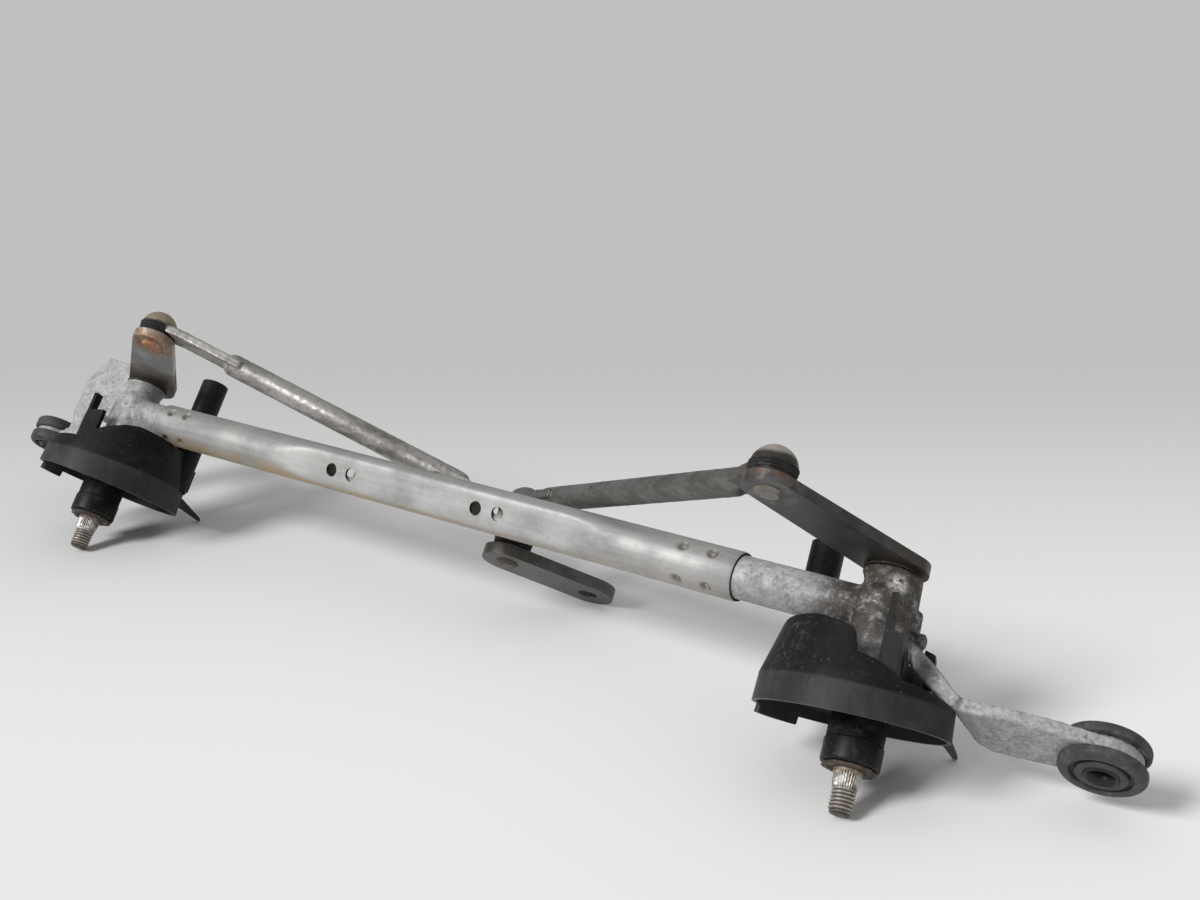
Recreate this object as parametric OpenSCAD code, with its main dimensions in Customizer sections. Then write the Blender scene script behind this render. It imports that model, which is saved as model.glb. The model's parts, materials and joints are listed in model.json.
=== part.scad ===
// Wiper linkage: a cross tube with two spindle housings, two levers,
// two connecting rods and a motor crank, lying as it rests on a bench.

/* [Cross tube] */
// Outer diameter of the cross tube
tube_d = 22; // [18:0.5:28]
// Wall of the cross tube
tube_wall = 1.3; // [1:0.1:2.5]
// Distance between the two spindles along the tube
spindle_pitch = 468; // [400:1:560]
// Gap from the left spindle axis to the tube end
left_spigot_show = 29.5; // [24:0.5:60]
// Gap from the right spindle axis to the tube end
right_spigot_show = 65.5; // [40:0.5:90]
// Depth of each spigot inside the tube
spigot_depth = 42; // [25:1:60]
// Thickness across the pressed middle
flat_t = 15; // [13:0.5:20]
// Start of the pressed middle, from the tube centre
flat_left = 89; // [75:1:110]
// End of the pressed middle, from the tube centre
flat_right = 84; // [60:1:100]
// Length of each ramp beside the pressed middle
flat_ramp = 18; // [10:1:30]
// Roll of the pressed faces about the tube
flat_roll = 24; // [0:1:30]
// Motor bolt hole diameter
motor_hole_d = 7; // [5:0.1:8]
// Spacing inside each pair of motor holes
motor_pair = 13.4; // [11:0.1:20]
// Distance between the two pairs of motor holes
motor_span = 95.4; // [80:0.1:110]
// Centre of the motor holes from the tube centre
motor_x = -15; // [-30:0.5:10]
// Diameter of each crimp dent
crimp_d = 5; // [3:0.5:7]
// Depth of each crimp dent
crimp_depth = 0.7; // [0.3:0.1:0.9]

/* [Spindles] */
// Spindle shaft diameter
spindle_d = 12; // [10:0.5:14]
// Lean of both spindles along the tube
lean = 8.36; // [0:0.1:15]
// Distance from the tube axis to the spindle tip
tip_reach = 83; // [76:0.5:100]
// Thread outer diameter
thread_d = 10; // [8:1:12]
// Plain length made for the thread
thread_len = 10; // [8:0.5:14]
// Length of the taper above the thread
taper_len = 6.5; // [4:0.5:8]
// Running clearance of the spindle in its bushes, on the radius
spindle_clear = 0.03; // [0.01:0.01:0.08]

/* [Housings] */
// Boss diameter around the spindle
boss_d = 25; // [22:0.5:30]
// Neck diameter below the lever
neck_d = 20; // [18.6:0.2:24]
// Bush outer diameter
bush_d = 15; // [14.2:0.2:17]
// Length of each bush
bush_len = 14; // [8:0.5:16]
// Height of the lever face above the tube axis
lever_z = 19; // [17:0.5:24]
// Thrust washer thickness
washer_t = 0.7; // [0.5:0.1:1.5]
// Depth of the boss shoulder below the tube axis
shoulder_z = 34; // [30:0.5:40]
// Length of the nose inside the cap
nose_len = 10; // [6:0.5:14]
// Thickness of the arm plates that hold the grommets
arm_t = 6; // [4:0.5:8]
// Width of the right arm plate
arm_w = 28; // [24:0.5:30]

/* [Caps and covers] */
// Cap diameter
cap_d = 24; // [22.5:0.5:28]
// Distance from the tube axis to the cap end
cap_end = 64; // [60:0.5:66]
// Cover wall radius at its crease
cover_r = 39.4; // [37:0.2:42]
// Shift of the cover toward the tube
cover_shift = 3.6; // [1:0.2:6]
// Inward slope of the cover wall above its crease
cover_slope = 0.28; // [0.2:0.01:0.32]
// Flare of the cover wall below its crease
cover_flare = 1.6; // [0.4:0.2:3]
// Cover wall thickness
cover_wall = 2; // [1.5:0.1:3]
// Depth of the crease below the tube axis
cover_crease = 34.5; // [33:0.5:37]
// Depth of the cover rim below the tube axis
cover_rim = 46; // [44:0.5:50]
// Depth of the tab on the rim
rim_tab = 3.6; // [2:0.2:6]
// Depth of the low part of the left cover top
left_cover_low = 31.5; // [29:0.5:32.5]
// Depth of the high part of the left cover top
left_cover_high = 19.5; // [18.5:0.5:24]
// Depth of the low part of the right cover top
right_cover_low = 28; // [25:0.5:30]
// Depth of the high part of the right cover top
right_cover_high = 14; // [12:0.5:18]
// Post diameter on the cover
post_d = 15; // [11:0.5:15.5]
// Height of the post above the tube axis
post_top = 31.5; // [15:0.5:36]
// Extra height of the right post
right_post_rise = 4; // [0:0.5:8]
// Reach of the fin behind the spindle
fin_reach = 53; // [44:0.5:56]

/* [Levers] */
// Lever plate thickness
lever_t = 4.8; // [4:0.2:6]
// Lever plate width at the ball stud
lever_w = 22; // [20:0.5:26]
// Lever hub radius
hub_r = 13.5; // [12:0.5:16]
// Side shift of the lever hub
hub_shift = 2.5; // [0:0.5:4]
// Length of the left lever
left_lever_len = 70.3; // [55:0.1:90]
// Direction of the left lever
left_lever_ang = -45.2; // [-80:0.1:-30]
// Length of the right lever
right_lever_len = 77.8; // [60:0.1:95]
// Direction of the right lever
right_lever_ang = -111.6; // [-125:0.1:-95]

/* [Ball joints] */
// Ball diameter
ball_d = 12; // [10:0.5:13]
// Ball clearance in its seat, on the radius
ball_clear = 0.05; // [0.02:0.01:0.1]
// Socket cup diameter
cup_d = 20; // [18.5:0.5:24]
// Socket cup wall
cup_wall = 1.4; // [1:0.1:2]
// Plastic left over the ball
seat_t = 0.8; // [0.6:0.1:1.5]
// Clearance of the seat in its cup
seat_clear = 0.05; // [0.02:0.01:0.1]
// Height of the ball above the face that carries it
ball_h = 6.1; // [5.6:0.1:8]
// Height of the crank ball above the crank
crank_ball_h = 10.7; // [9:0.1:14]
// Gap between parts that pass each other
pass_gap = 0.3; // [0.2:0.05:0.6]

/* [Rods] */
// Rod tube diameter
rod_d = 12; // [9:0.5:13]
// Thickness of the flattened rod ends
rod_flat_t = 4.6; // [3:0.2:6]
// Width of the flattened rod ends
rod_flat_w = 15; // [13:0.5:17]
// Length of the flat end beside each outer socket
rod_level = 15.5; // [14:0.5:20]
// Drop of each rod at the end of its flat end
rod_sag = 3.6; // [1.2:0.1:3.8]
// Length of the flat neck on the left rod
left_neck = 34; // [20:1:50]
// Length of the flat neck on the right rod
right_neck = 8; // [4:1:30]
// Distance of the left rod bend from the inner socket
left_bend = 31; // [28:0.5:45]
// Distance of the right rod bend from the inner socket
right_bend = 20; // [16:0.5:40]
// Height of the left rod bend above its inner ball
left_bend_h = 17; // [16.5:0.5:20]
// Height of the right rod bend above its inner ball
right_bend_h = -1.5; // [-2:0.5:6]

/* [Motor crank] */
// Place of the inner joint along the spindle plane
joint_p = 22.7; // [10:0.1:35]
// Place of the inner joint behind the tube
joint_q = 36.2; // [33:0.1:48]
// Level of the crank face toward the tips
crank_level = -17.2; // [-22:0.1:-16]
// Crank plate thickness
crank_t = 6; // [4:0.5:8]
// Crank centre distance
crank_len = 45; // [35:0.5:60]
// Crank plate width
crank_w = 26; // [22:0.5:30]
// Crank direction
crank_ang = 48.3; // [20:0.1:90]
// Motor shaft bore in the crank
crank_bore = 10; // [8:0.5:12]

/* [Grommets] */
// Left grommet flange diameter
left_grommet_d = 27; // [24.5:0.5:28]
// Right grommet flange diameter
right_grommet_d = 34; // [30:0.5:38]
// Flange thickness of the grommets
grommet_flange = 5; // [3:0.5:6]
// Sleeve outer diameter
sleeve_d = 13; // [11:0.5:14]
// Sleeve bore
sleeve_bore = 8.4; // [6.4:0.1:9]
// Tilt of the right arm plate
right_eye_tilt = 13; // [0:1:20]

/* [Hidden] */
$fn = 48;
eps = 0.01;
far = 200;
// Resting roll and the place of the tube axis above the bench
rest_roll = 42.77;
place_x = -14.795;
place_y = 2.448;
place_z = 63.206;
tube_r = tube_d / 2;
bore_r = tube_r - tube_wall;
tube_x0 = -spindle_pitch / 2 + left_spigot_show;
tube_x1 = spindle_pitch / 2 - right_spigot_show;
spindle_r = spindle_d / 2;
thread_r = thread_d / 2;
boss_r = boss_d / 2;
neck_r = neck_d / 2;
bush_r = bush_d / 2;
cap_r = cap_d / 2;
deck_t = cover_wall;
deck_z = -shoulder_z - deck_t;
nose_r = neck_r;
house_top = lever_z - washer_t - pass_gap;
ring_t = 1.2;
ring_z = -cap_end - pass_gap - ring_t;
shank_r = spindle_r - 1;
lever_sweep = hub_r + hub_shift + 0.8;
lever_top = lever_z + lever_t;
ball_r = ball_d / 2;
cup_r = cup_d / 2;
cup_drop = 1.4;
dome_drop = cup_drop + 0.2;
dome_r = ball_r + ball_clear + seat_t + cup_wall + dome_drop;
dome_top = dome_r - dome_drop;
stud_r = 3.6;
boot_bore = ball_r;
rod_r = rod_d / 2;
rod_root = 1.2;
// Planar places of spindles, studs and the inner joint
axis_p = spindle_pitch / 2 * cos(lean);
axis_a = spindle_pitch / 2 * sin(lean);
left_stud = [-axis_p + left_lever_len * cos(left_lever_ang), left_lever_len * sin(left_lever_ang)];
right_stud = [axis_p + right_lever_len * cos(right_lever_ang), right_lever_len * sin(right_lever_ang)];
joint = [joint_p, joint_q];
left_ball_a = axis_a + lever_top + ball_h;
right_ball_a = -axis_a + lever_top + ball_h;
crank_top = crank_level + crank_t;
inner_left_a = crank_top + crank_ball_h;
link_foot_a = inner_left_a + dome_top + pass_gap;
link_foot_t = 1.4;
inner_right_a = link_foot_a + link_foot_t + ball_h;
left_rod_len = norm(joint - left_stud);
right_rod_len = norm(joint - right_stud);
left_rod_ang = atan2(joint[1] - left_stud[1], joint[0] - left_stud[0]);
right_rod_ang = atan2(joint[1] - right_stud[1], joint[0] - right_stud[0]);
// Grommet eyes and arm bends in their spindle frames
left_eye = [-68.8, 10, -12.2];
paddle_x = 56.9;
paddle_z = 39;
paddle_low = left_eye[2] - arm_t / 2;
leg_w = 9;
leg_x = left_eye[0] + left_grommet_d / 2 + 0.5;
arch_z = 12;
right_eye = [88, 31, -37];
right_knee = [44, 19.2];
right_bar = [2.5, 15];
eye_r = right_grommet_d / 2 - 2.5;
eye_reach = [right_knee[0] - right_eye[0], (right_knee[1] - right_eye[1]) / cos(right_eye_tilt)];
// Post, rib and fin places in the cover frame
left_post_x = cover_r - 8;
right_post_x = cover_r - 2.4;
post_y = tube_r + post_d / 2 + 0.6;
rib_x = 12.6;
rib_y = -22;
rib_w = 2.4;
rib_d = 4.5;
left_rib_leg = [13, 28];
right_rib_leg = [8, 22];
fin_x = 25;
fin_root = 16;
// Leans of each cover and of its rim, about x and about y
bowl_h = 34;
bowl_top_r = cover_r - cover_slope * bowl_h;
left_bowl = [5.5, 6];
left_rim = [5.5, 9.7];
right_bowl = [8, 2.2];
right_rim = [9.3, 2.3];
left_tab = [184, 214];
right_tab = [146, 182];
left_top = [
    [far / 2, -left_cover_high], [cover_r - 1, -left_cover_high], [cover_r - 6.4, -left_cover_high - 4.5],
    [cover_r - 15, -left_cover_low + 3], [12, -left_cover_low], [-30, -left_cover_low + 2],
    [-far / 2, -left_cover_low + 2]
];
right_top = [
    [far / 2, -shoulder_z - 0.6], [24, -shoulder_z - 0.6], [14, -right_cover_low - 1.5],
    [5, -right_cover_low + 0.5], [2.5, -right_cover_low + 2.5], [2, -right_cover_high - 8],
    [-1, -right_cover_high - 6.5],
    [-14, -right_cover_high - 3], [-cover_r, -right_cover_high], [-far / 2, -right_cover_high]
];

// Resting pose of the whole linkage
module rest() {
    translate([place_x, place_y, place_z]) rotate([-rest_roll, 0, 0]) children();
}

// Frame of one spindle: z runs from tip to lever, side is -1 left and 1 right
module at_spindle(side) {
    rest() translate([side * spindle_pitch / 2, 0, 0]) rotate([0, -lean, 0]) children();
}

// Frame of the lever plane: x along the plane, y behind the tube
module at_plane(p, a) {
    rest() rotate([0, -lean, 0]) translate([p[0], p[1], a]) children();
}

// Flat bar with round ends between two bores
module link_plate(len, w, t) {
    linear_extrude(t) {
        circle(d = w);
        translate([len, 0]) circle(d = w);
        translate([0, -w / 2]) square([len, w]);
    }
}

// Cross tube

module pressed_form(r, t) {
    intersection() {
        translate([tube_x0, 0, 0]) rotate([0, 90, 0]) cylinder(r = r, h = tube_x1 - tube_x0);
        rotate([flat_roll, 0, 0]) translate([0, 0, -tube_d]) linear_extrude(2 * tube_d) polygon([
            [tube_x0 - 1, -r - 1], [-flat_left - flat_ramp, -r - eps], [-flat_left, -t / 2],
            [flat_right, -t / 2], [flat_right + flat_ramp, -r - eps], [tube_x1 + 1, -r - 1],
            [tube_x1 + 1, r + 1], [flat_right + flat_ramp, r + eps], [flat_right, t / 2],
            [-flat_left, t / 2], [-flat_left - flat_ramp, r + eps], [tube_x0 - 1, r + 1]
        ]);
    }
}

module motor_holes() {
    for (s = [-1, 1], k = [-1, 1])
        translate([motor_x + s * motor_span / 2 + k * motor_pair / 2, 0, 0])
            rotate([flat_roll, 0, 0])
                rotate([90, 0, 0]) cylinder(d = motor_hole_d, h = 2 * tube_d, center = true);
}

module crimps(x, step) {
    for (k = [0, 1], t = [66:90:336])
        translate([x + k * step, 0, 0]) rotate([t, 0, 0])
            translate([0, tube_r - crimp_depth + crimp_d / 2, 0]) sphere(d = crimp_d, $fn = 24);
}

module frame_tube() {
    color("Silver") rest() difference() {
        pressed_form(tube_r, flat_t);
        translate([-1, 0, 0]) pressed_form(bore_r, flat_t - 2 * tube_wall);
        translate([1, 0, 0]) pressed_form(bore_r, flat_t - 2 * tube_wall);
        motor_holes();
        crimps(tube_x0 + 9.7, 12);
        crimps(tube_x1 - 12, -15);
    }
}

// Housings

module boss() {
    rotate_extrude() polygon([
        [0, -shoulder_z - nose_len], [nose_r - 0.6, -shoulder_z - nose_len],
        [nose_r, -shoulder_z - nose_len + 0.6], [nose_r, -shoulder_z],
        [boss_r, -shoulder_z], [boss_r, tube_r - 4], [neck_r, tube_r],
        [neck_r, house_top - 4], [neck_r + 1.6, house_top - 0.8], [neck_r + 1.6, house_top], [0, house_top]
    ]);
}

module spigot(side, show) {
    rotate([0, lean, 0]) rotate([0, -side * 90, 0]) cylinder(r = bore_r, h = show + spigot_depth);
}

module spindle_bore() {
    translate([0, 0, -far / 2]) cylinder(r = bush_r, h = far);
}

module left_arm() {
    rotate([90, 0, 0]) translate([0, 0, -15]) linear_extrude(11) polygon([
        [-8, 2], [-8, arch_z], [-lever_sweep, lever_z - 1.5], [-lever_sweep, paddle_z - 8],
        [-lever_sweep - 3, paddle_z - 5], [-paddle_x + 12, paddle_z], [-paddle_x, paddle_z - 15],
        [-paddle_x, 2], [leg_x, -3], [leg_x, paddle_low], [leg_x + leg_w, paddle_low], [leg_x + leg_w, 2],
        [leg_x + 2 * leg_w, arch_z], [-24, arch_z], [-18, 2]
    ]);
    translate([-22, -9, -6]) cube([12, 14, 14]);
    translate(left_eye - [0, 0, arm_t / 2]) linear_extrude(arm_t) {
        circle(d = left_grommet_d - 4);
        translate([0, -6]) square([22, 11]);
    }
}

module right_plate() {
    circle(r = eye_r);
    polygon([
        eye_reach - [11, arm_w / 2 + 3], eye_reach - [7.5, arm_w / 2 + 0.8], eye_reach + [12, 2 - arm_w / 2],
        eye_reach + [28, 6 - arm_w / 2], [4, 1.5 - eye_r], [-3, eye_r - 1.5], eye_reach + [27, arm_w / 2 + 6],
        eye_reach + [9, arm_w / 2 + 3], eye_reach + [0, arm_w / 2 + 1], eye_reach + [-5, arm_w / 2 - 5]
    ]);
}

module right_arm() {
    rotate([90, 0, 0]) translate([0, 0, -right_bar[1]]) linear_extrude(right_bar[1] - right_bar[0]) polygon([
        [4, -3], [10, -5], [18.2, -12.2], [25.9, -18.3], [33.3, -26], [37, -28.6],
        [35.5, -32.8], [32.3, -33], [23, -26.2], [15.2, -19.8], [12, -15.5], [4, -12]
    ]);
    difference() {
        translate(right_eye) rotate([-right_eye_tilt, 0, 0]) translate([0, 0, -arm_t / 2])
            linear_extrude(arm_t) right_plate();
        intersection() {
            at_bowl(-1, right_bowl) bowl_fill(pass_gap);
            translate([-far / 2, -far / 2, -shoulder_z - far]) cube(far);
        }
    }
}

module left_housing() {
    color("LightGray") at_spindle(-1) difference() {
        union() {
            boss();
            spigot(-1, left_spigot_show);
            left_arm();
        }
        spindle_bore();
        translate(left_eye) cylinder(d = left_grommet_d - 9, h = far, center = true);
    }
}

module right_housing() {
    color("LightGray") at_spindle(1) difference() {
        union() {
            boss();
            spigot(1, right_spigot_show);
            right_arm();
        }
        spindle_bore();
        translate(right_eye) rotate([-right_eye_tilt, 0, 0])
            cylinder(d = right_grommet_d - 11, h = 30, center = true);
    }
}

module bush(z) {
    translate([0, 0, z]) difference() {
        cylinder(r = bush_r, h = bush_len);
        translate([0, 0, -1]) cylinder(r = spindle_r + spindle_clear, h = bush_len + 2);
    }
}

module left_upper_bush() {
    color("Goldenrod") at_spindle(-1) bush(house_top - bush_len);
}

module right_upper_bush() {
    color("Goldenrod") at_spindle(1) bush(house_top - bush_len);
}

module left_lower_bush() {
    color("Goldenrod") at_spindle(-1) bush(-shoulder_z - nose_len);
}

module right_lower_bush() {
    color("Goldenrod") at_spindle(1) bush(-shoulder_z - nose_len);
}

// Caps and covers

module cap() {
    difference() {
        translate([0, 0, -cap_end]) cylinder(r = cap_r, h = cap_end + deck_z);
        translate([0, 0, -shoulder_z - nose_len]) cylinder(r = nose_r, h = nose_len);
        translate([0, 0, -cap_end - 1]) cylinder(r = spindle_r + 1, h = cap_end);
    }
}

module left_cap() {
    color("DimGray") at_spindle(-1) cap();
}

module right_cap() {
    color("DimGray") at_spindle(1) cap();
}

// Cover frame at the middle of its crease, toward is 1 when the tube lies along x
module at_bowl(toward, tip) {
    translate([toward * cover_shift, 0, -cover_crease]) rotate([tip[0], tip[1], 0]) children();
}

module bowl_wall() {
    rotate_extrude() polygon([
        [cover_r + cover_flare, -bowl_h], [cover_r, 0], [bowl_top_r, bowl_h],
        [bowl_top_r - cover_wall, bowl_h], [cover_r - cover_wall, 0],
        [cover_r + cover_flare - cover_wall, -bowl_h]
    ]);
}

// Solid inside the cover, grown by some distance
module bowl_fill(grow) {
    rotate_extrude() polygon([
        [0, -bowl_h], [cover_r + cover_flare + grow, -bowl_h], [cover_r + grow, 0],
        [bowl_top_r + grow, bowl_h], [0, bowl_h]
    ]);
}

// Everything below the rim plane, let down by depth
module below_rim(toward, rim, depth) {
    translate([toward * cover_shift, 0, -cover_rim - depth]) rotate([rim[0], rim[1], 0])
        translate([-far / 2, -far / 2, -far]) cube(far);
}

// Upright sector between two directions
module sector(span) {
    translate([0, 0, -far / 2]) linear_extrude(far) polygon([
        [0, 0], far * [cos(span[0]), sin(span[0])], far * [cos(span[1]), sin(span[1])]
    ]);
}

module skirt(toward, bowl, rim, top, tab) {
    difference() {
        union() {
            at_bowl(toward, bowl) bowl_wall();
            translate([toward * (cover_r - 4.4) - cover_wall / 2, cover_r / 6, -cover_crease])
                cube([cover_wall, cover_r / 2, cover_crease]);
        }
        rotate([90, 0, 0]) linear_extrude(far, center = true)
            polygon(concat(top, [[-far / 2, far], [far / 2, far]]));
        difference() {
            below_rim(toward, rim, 0);
            sector(tab);
        }
        below_rim(toward, rim, rim_tab);
    }
}

module cover_core(toward, bowl, rim, top, tab, post) {
    skirt(toward, bowl, rim, top, tab);
    difference() {
        intersection() {
            at_bowl(toward, bowl) bowl_fill(-cover_wall / 2);
            translate([-far / 2, -far / 2, deck_z]) cube([far, far, deck_t]);
        }
        translate([0, 0, -far / 2]) cylinder(r = nose_r, h = far);
    }
    translate([toward * post[0], post_y, deck_z]) cylinder(d = post_d, h = post[1] - deck_z);
}

module rib(x, leg) {
    translate([x, rib_y, deck_z]) cube([rib_w, rib_d, rib_w - deck_z]);
    translate([x, rib_y, deck_z]) cube([leg[0], rib_w, leg[1]]);
}

module fin() {
    translate([fin_x - cover_wall / 2, 0, 0]) rotate([90, 0, 90]) linear_extrude(cover_wall) polygon([
        [fin_root, deck_z + 1], [fin_root, deck_z - 4], [fin_reach, deck_z - 5], [fin_reach - 1, deck_z - 3.5],
        [2 * fin_root, deck_z + 1]
    ]);
}

module left_cover() {
    color("DarkSlateGray") at_spindle(-1) {
        cover_core(1, left_bowl, left_rim, left_top, left_tab, [left_post_x, post_top]);
        rib(-rib_x, left_rib_leg);
        fin();
    }
}

module right_cover() {
    color("DarkSlateGray") at_spindle(1) {
        cover_core(-1, right_bowl, right_rim, right_top, right_tab, [right_post_x, post_top + right_post_rise]);
        rib(rib_x - rib_w, right_rib_leg);
        fin();
    }
}

// Grommets

module grommet(d, groove_d) {
    rotate_extrude() polygon([
        [sleeve_d / 2, -arm_t / 2 - grommet_flange], [d / 2 - 2, -arm_t / 2 - grommet_flange],
        [d / 2, -arm_t / 2 - grommet_flange + 2], [d / 2, -arm_t / 2], [groove_d / 2, -arm_t / 2],
        [groove_d / 2, arm_t / 2], [d / 2, arm_t / 2], [d / 2, arm_t / 2 + grommet_flange - 2],
        [d / 2 - 2, arm_t / 2 + grommet_flange], [sleeve_d / 2, arm_t / 2 + grommet_flange]
    ]);
}

module sleeve() {
    difference() {
        cylinder(d = sleeve_d, h = arm_t + 2 * grommet_flange + 1, center = true);
        cylinder(d = sleeve_bore, h = far, center = true);
    }
}

module left_grommet() {
    color("Black") at_spindle(-1) translate(left_eye) grommet(left_grommet_d, left_grommet_d - 9);
}

module right_grommet() {
    color("Black") at_spindle(1) translate(right_eye) rotate([-right_eye_tilt, 0, 0])
        grommet(right_grommet_d, right_grommet_d - 11);
}

module left_sleeve() {
    color("Gray") at_spindle(-1) translate(left_eye) sleeve();
}

module right_sleeve() {
    color("Gray") at_spindle(1) translate(right_eye) rotate([-right_eye_tilt, 0, 0]) sleeve();
}

// Spindles and levers

module spindle() {
    rotate_extrude() polygon([
        [0, -tip_reach], [thread_r - 1, -tip_reach], [thread_r, -tip_reach + 1],
        [thread_r, -tip_reach + thread_len], [spindle_r, -tip_reach + thread_len + taper_len],
        [spindle_r, lever_z], [shank_r, lever_z], [shank_r, lever_top],
        [spindle_r + 0.5, lever_top], [spindle_r - 0.5, lever_top + 1.4], [0, lever_top + 1.4]
    ]);
}

module lever(len, ang) {
    translate([0, 0, lever_z]) rotate(ang) difference() {
        linear_extrude(lever_t) {
            translate([0, hub_shift]) circle(r = hub_r);
            translate([len, 0]) circle(d = lever_w);
            polygon([
                [0, hub_shift - hub_r], [len, -lever_w / 2],
                [len, lever_w / 2], [0, hub_shift + hub_r]
            ]);
        }
        translate([0, 0, -1]) cylinder(r = shank_r, h = lever_t + 2);
        translate([len, 0, -1]) cylinder(r = stud_r, h = lever_t + 2);
    }
}

// Ball stud riveted through a plate of thickness t, ball centre at the origin
module ball_stud(h, t) {
    sphere(r = ball_r);
    difference() {
        translate([0, 0, -h - t]) cylinder(r = stud_r, h = h + t);
        translate([0, 0, -h - t - far]) cylinder(r = far, h = far);
    }
    translate([0, 0, -h]) cylinder(r = ball_r - 0.8, h = 0.8);
    translate([0, 0, -h - t - 1.6]) cylinder(r1 = ball_r - 1.4, r2 = ball_r, h = 1.6);
}

module lever_stud(len, ang) {
    rotate(ang) translate([len, 0, lever_top + ball_h]) difference() {
        ball_stud(ball_h, lever_t);
        translate([0, 0, -ball_h - lever_t]) difference() {
            cylinder(r = ball_d, h = lever_t);
            translate([0, 0, -1]) cylinder(r = stud_r, h = lever_t + 2);
        }
    }
}

module washer() {
    translate([0, 0, lever_z - washer_t]) difference() {
        cylinder(r = boss_r - 1, h = washer_t);
        translate([0, 0, -1]) cylinder(r = spindle_r, h = washer_t + 2);
    }
}

module ring() {
    translate([0, 0, ring_z]) difference() {
        cylinder(r = cap_r - 1.5, h = ring_t);
        translate([0, 0, -1]) cylinder(r = spindle_r, h = ring_t + 2);
    }
}

module left_spindle() {
    color("Tan") at_spindle(-1) spindle();
}

module left_lever() {
    color("SlateGray") at_spindle(-1) lever(left_lever_len, left_lever_ang);
}

module left_lever_stud() {
    color("Peru") at_spindle(-1) lever_stud(left_lever_len, left_lever_ang);
}

module left_washer() {
    color("Silver") at_spindle(-1) washer();
}

module left_ring() {
    color("Peru") at_spindle(-1) ring();
}

module right_spindle() {
    color("Tan") at_spindle(1) spindle();
}

module right_lever() {
    color("SlateGray") at_spindle(1) lever(right_lever_len, right_lever_ang);
}

module right_lever_stud() {
    color("Peru") at_spindle(1) lever_stud(right_lever_len, right_lever_ang);
}

module right_washer() {
    color("Silver") at_spindle(1) washer();
}

module right_ring() {
    color("Peru") at_spindle(1) ring();
}

// Rods

module cup_form(inset) {
    intersection() {
        translate([0, 0, -cup_drop]) cylinder(r = cup_r - inset, h = far);
        translate([0, 0, -dome_drop]) sphere(r = dome_r - inset, $fn = 64);
    }
}

module seat() {
    difference() {
        cup_form(cup_wall + seat_clear);
        sphere(r = ball_r + ball_clear);
    }
}

module boot(drop) {
    step = (drop - cup_drop) / 3;
    difference() {
        union() {
            translate([0, 0, -cup_drop - step]) cylinder(r = cup_r - 0.4, h = step);
            translate([0, 0, -cup_drop - 2 * step]) cylinder(r = cup_r - 1.8, h = step);
            translate([0, 0, -drop]) cylinder(r = cup_r - 0.9, h = step);
        }
        translate([0, 0, -drop - 1]) cylinder(r = boot_bore, h = drop);
    }
}

// Unit normal of a line, and the offset of a bend between two lines
function side(v) = [-v[1], v[0]] / norm(v);
function mitre(m, n) = (m + n) / (1 + m * n);

// Flattened strip through three points of the rod, in the xz plane
module rod_strip(a, b, c) {
    m = side(b - a);
    n = side(c - b);
    h = rod_flat_t / 2;
    rotate([90, 0, 0]) translate([0, 0, -rod_flat_w / 2]) linear_extrude(rod_flat_w) polygon([
        a + h * m, b + h * mitre(m, n), c + h * n,
        c - h * n, b - h * mitre(m, n), a - h * m
    ]);
}

// Rod in its own frame: x runs to the inner ball, which lies at height drop
module rod(len, drop, neck, bend, bend_h) {
    start = [rod_level, -rod_sag];
    elbow = [len - bend, drop + bend_h];
    inner = [len - cup_r, drop];
    main = elbow - start;
    reach = norm(main);
    along = main / reach;
    difference() {
        union() {
            cup_form(0);
            translate([len, 0, drop]) cup_form(0);
            rod_strip([0, -rod_root], start, start + (neck + rod_r) * along);
            rod_strip(elbow - 3 * rod_r * along, elbow, inner + (inner - elbow) / norm(inner - elbow));
            translate([start[0], 0, start[1]]) rotate([0, -atan2(main[1], main[0]), 0]) {
                translate([neck, 0, 0]) rotate([0, 90, 0]) cylinder(r = rod_r, h = reach - neck - rod_r);
                translate([neck, 0, 0]) sphere(r = rod_r);
                translate([reach - rod_r, 0, 0]) sphere(r = rod_r);
            }
        }
        cup_form(cup_wall);
        translate([0, 0, -cup_drop - far]) cylinder(r = cup_r, h = far);
        cylinder(r = cup_r - cup_wall, h = 2 * cup_drop, center = true);
        translate([len, 0, drop]) {
            cup_form(cup_wall);
            translate([0, 0, -cup_drop - far]) cylinder(r = cup_r, h = far);
            cylinder(r = cup_r - cup_wall, h = 2 * cup_drop, center = true);
        }
    }
}

module left_rod() {
    color("Gray") at_plane(left_stud, left_ball_a) rotate(left_rod_ang)
        rod(left_rod_len, inner_left_a - left_ball_a, left_neck, left_bend, left_bend_h);
}

module left_outer_seat() {
    color("Ivory") at_plane(left_stud, left_ball_a) seat();
}

module left_outer_boot() {
    color("Black") at_plane(left_stud, left_ball_a) boot(ball_h - pass_gap);
}

module left_inner_seat() {
    color("Ivory") at_plane(joint, inner_left_a) seat();
}

module left_inner_boot() {
    color("Black") at_plane(joint, inner_left_a) boot(crank_ball_h - pass_gap);
}

module right_rod() {
    color("Gray") at_plane(right_stud, right_ball_a) rotate(right_rod_ang)
        rod(right_rod_len, inner_right_a - right_ball_a, right_neck, right_bend, right_bend_h);
}

module right_outer_seat() {
    color("Ivory") at_plane(right_stud, right_ball_a) seat();
}

module right_outer_boot() {
    color("Black") at_plane(right_stud, right_ball_a) boot(ball_h - pass_gap);
}

module right_inner_seat() {
    color("Ivory") at_plane(joint, inner_right_a) seat();
}

module right_inner_boot() {
    color("Black") at_plane(joint, inner_right_a) boot(ball_h);
}

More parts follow.
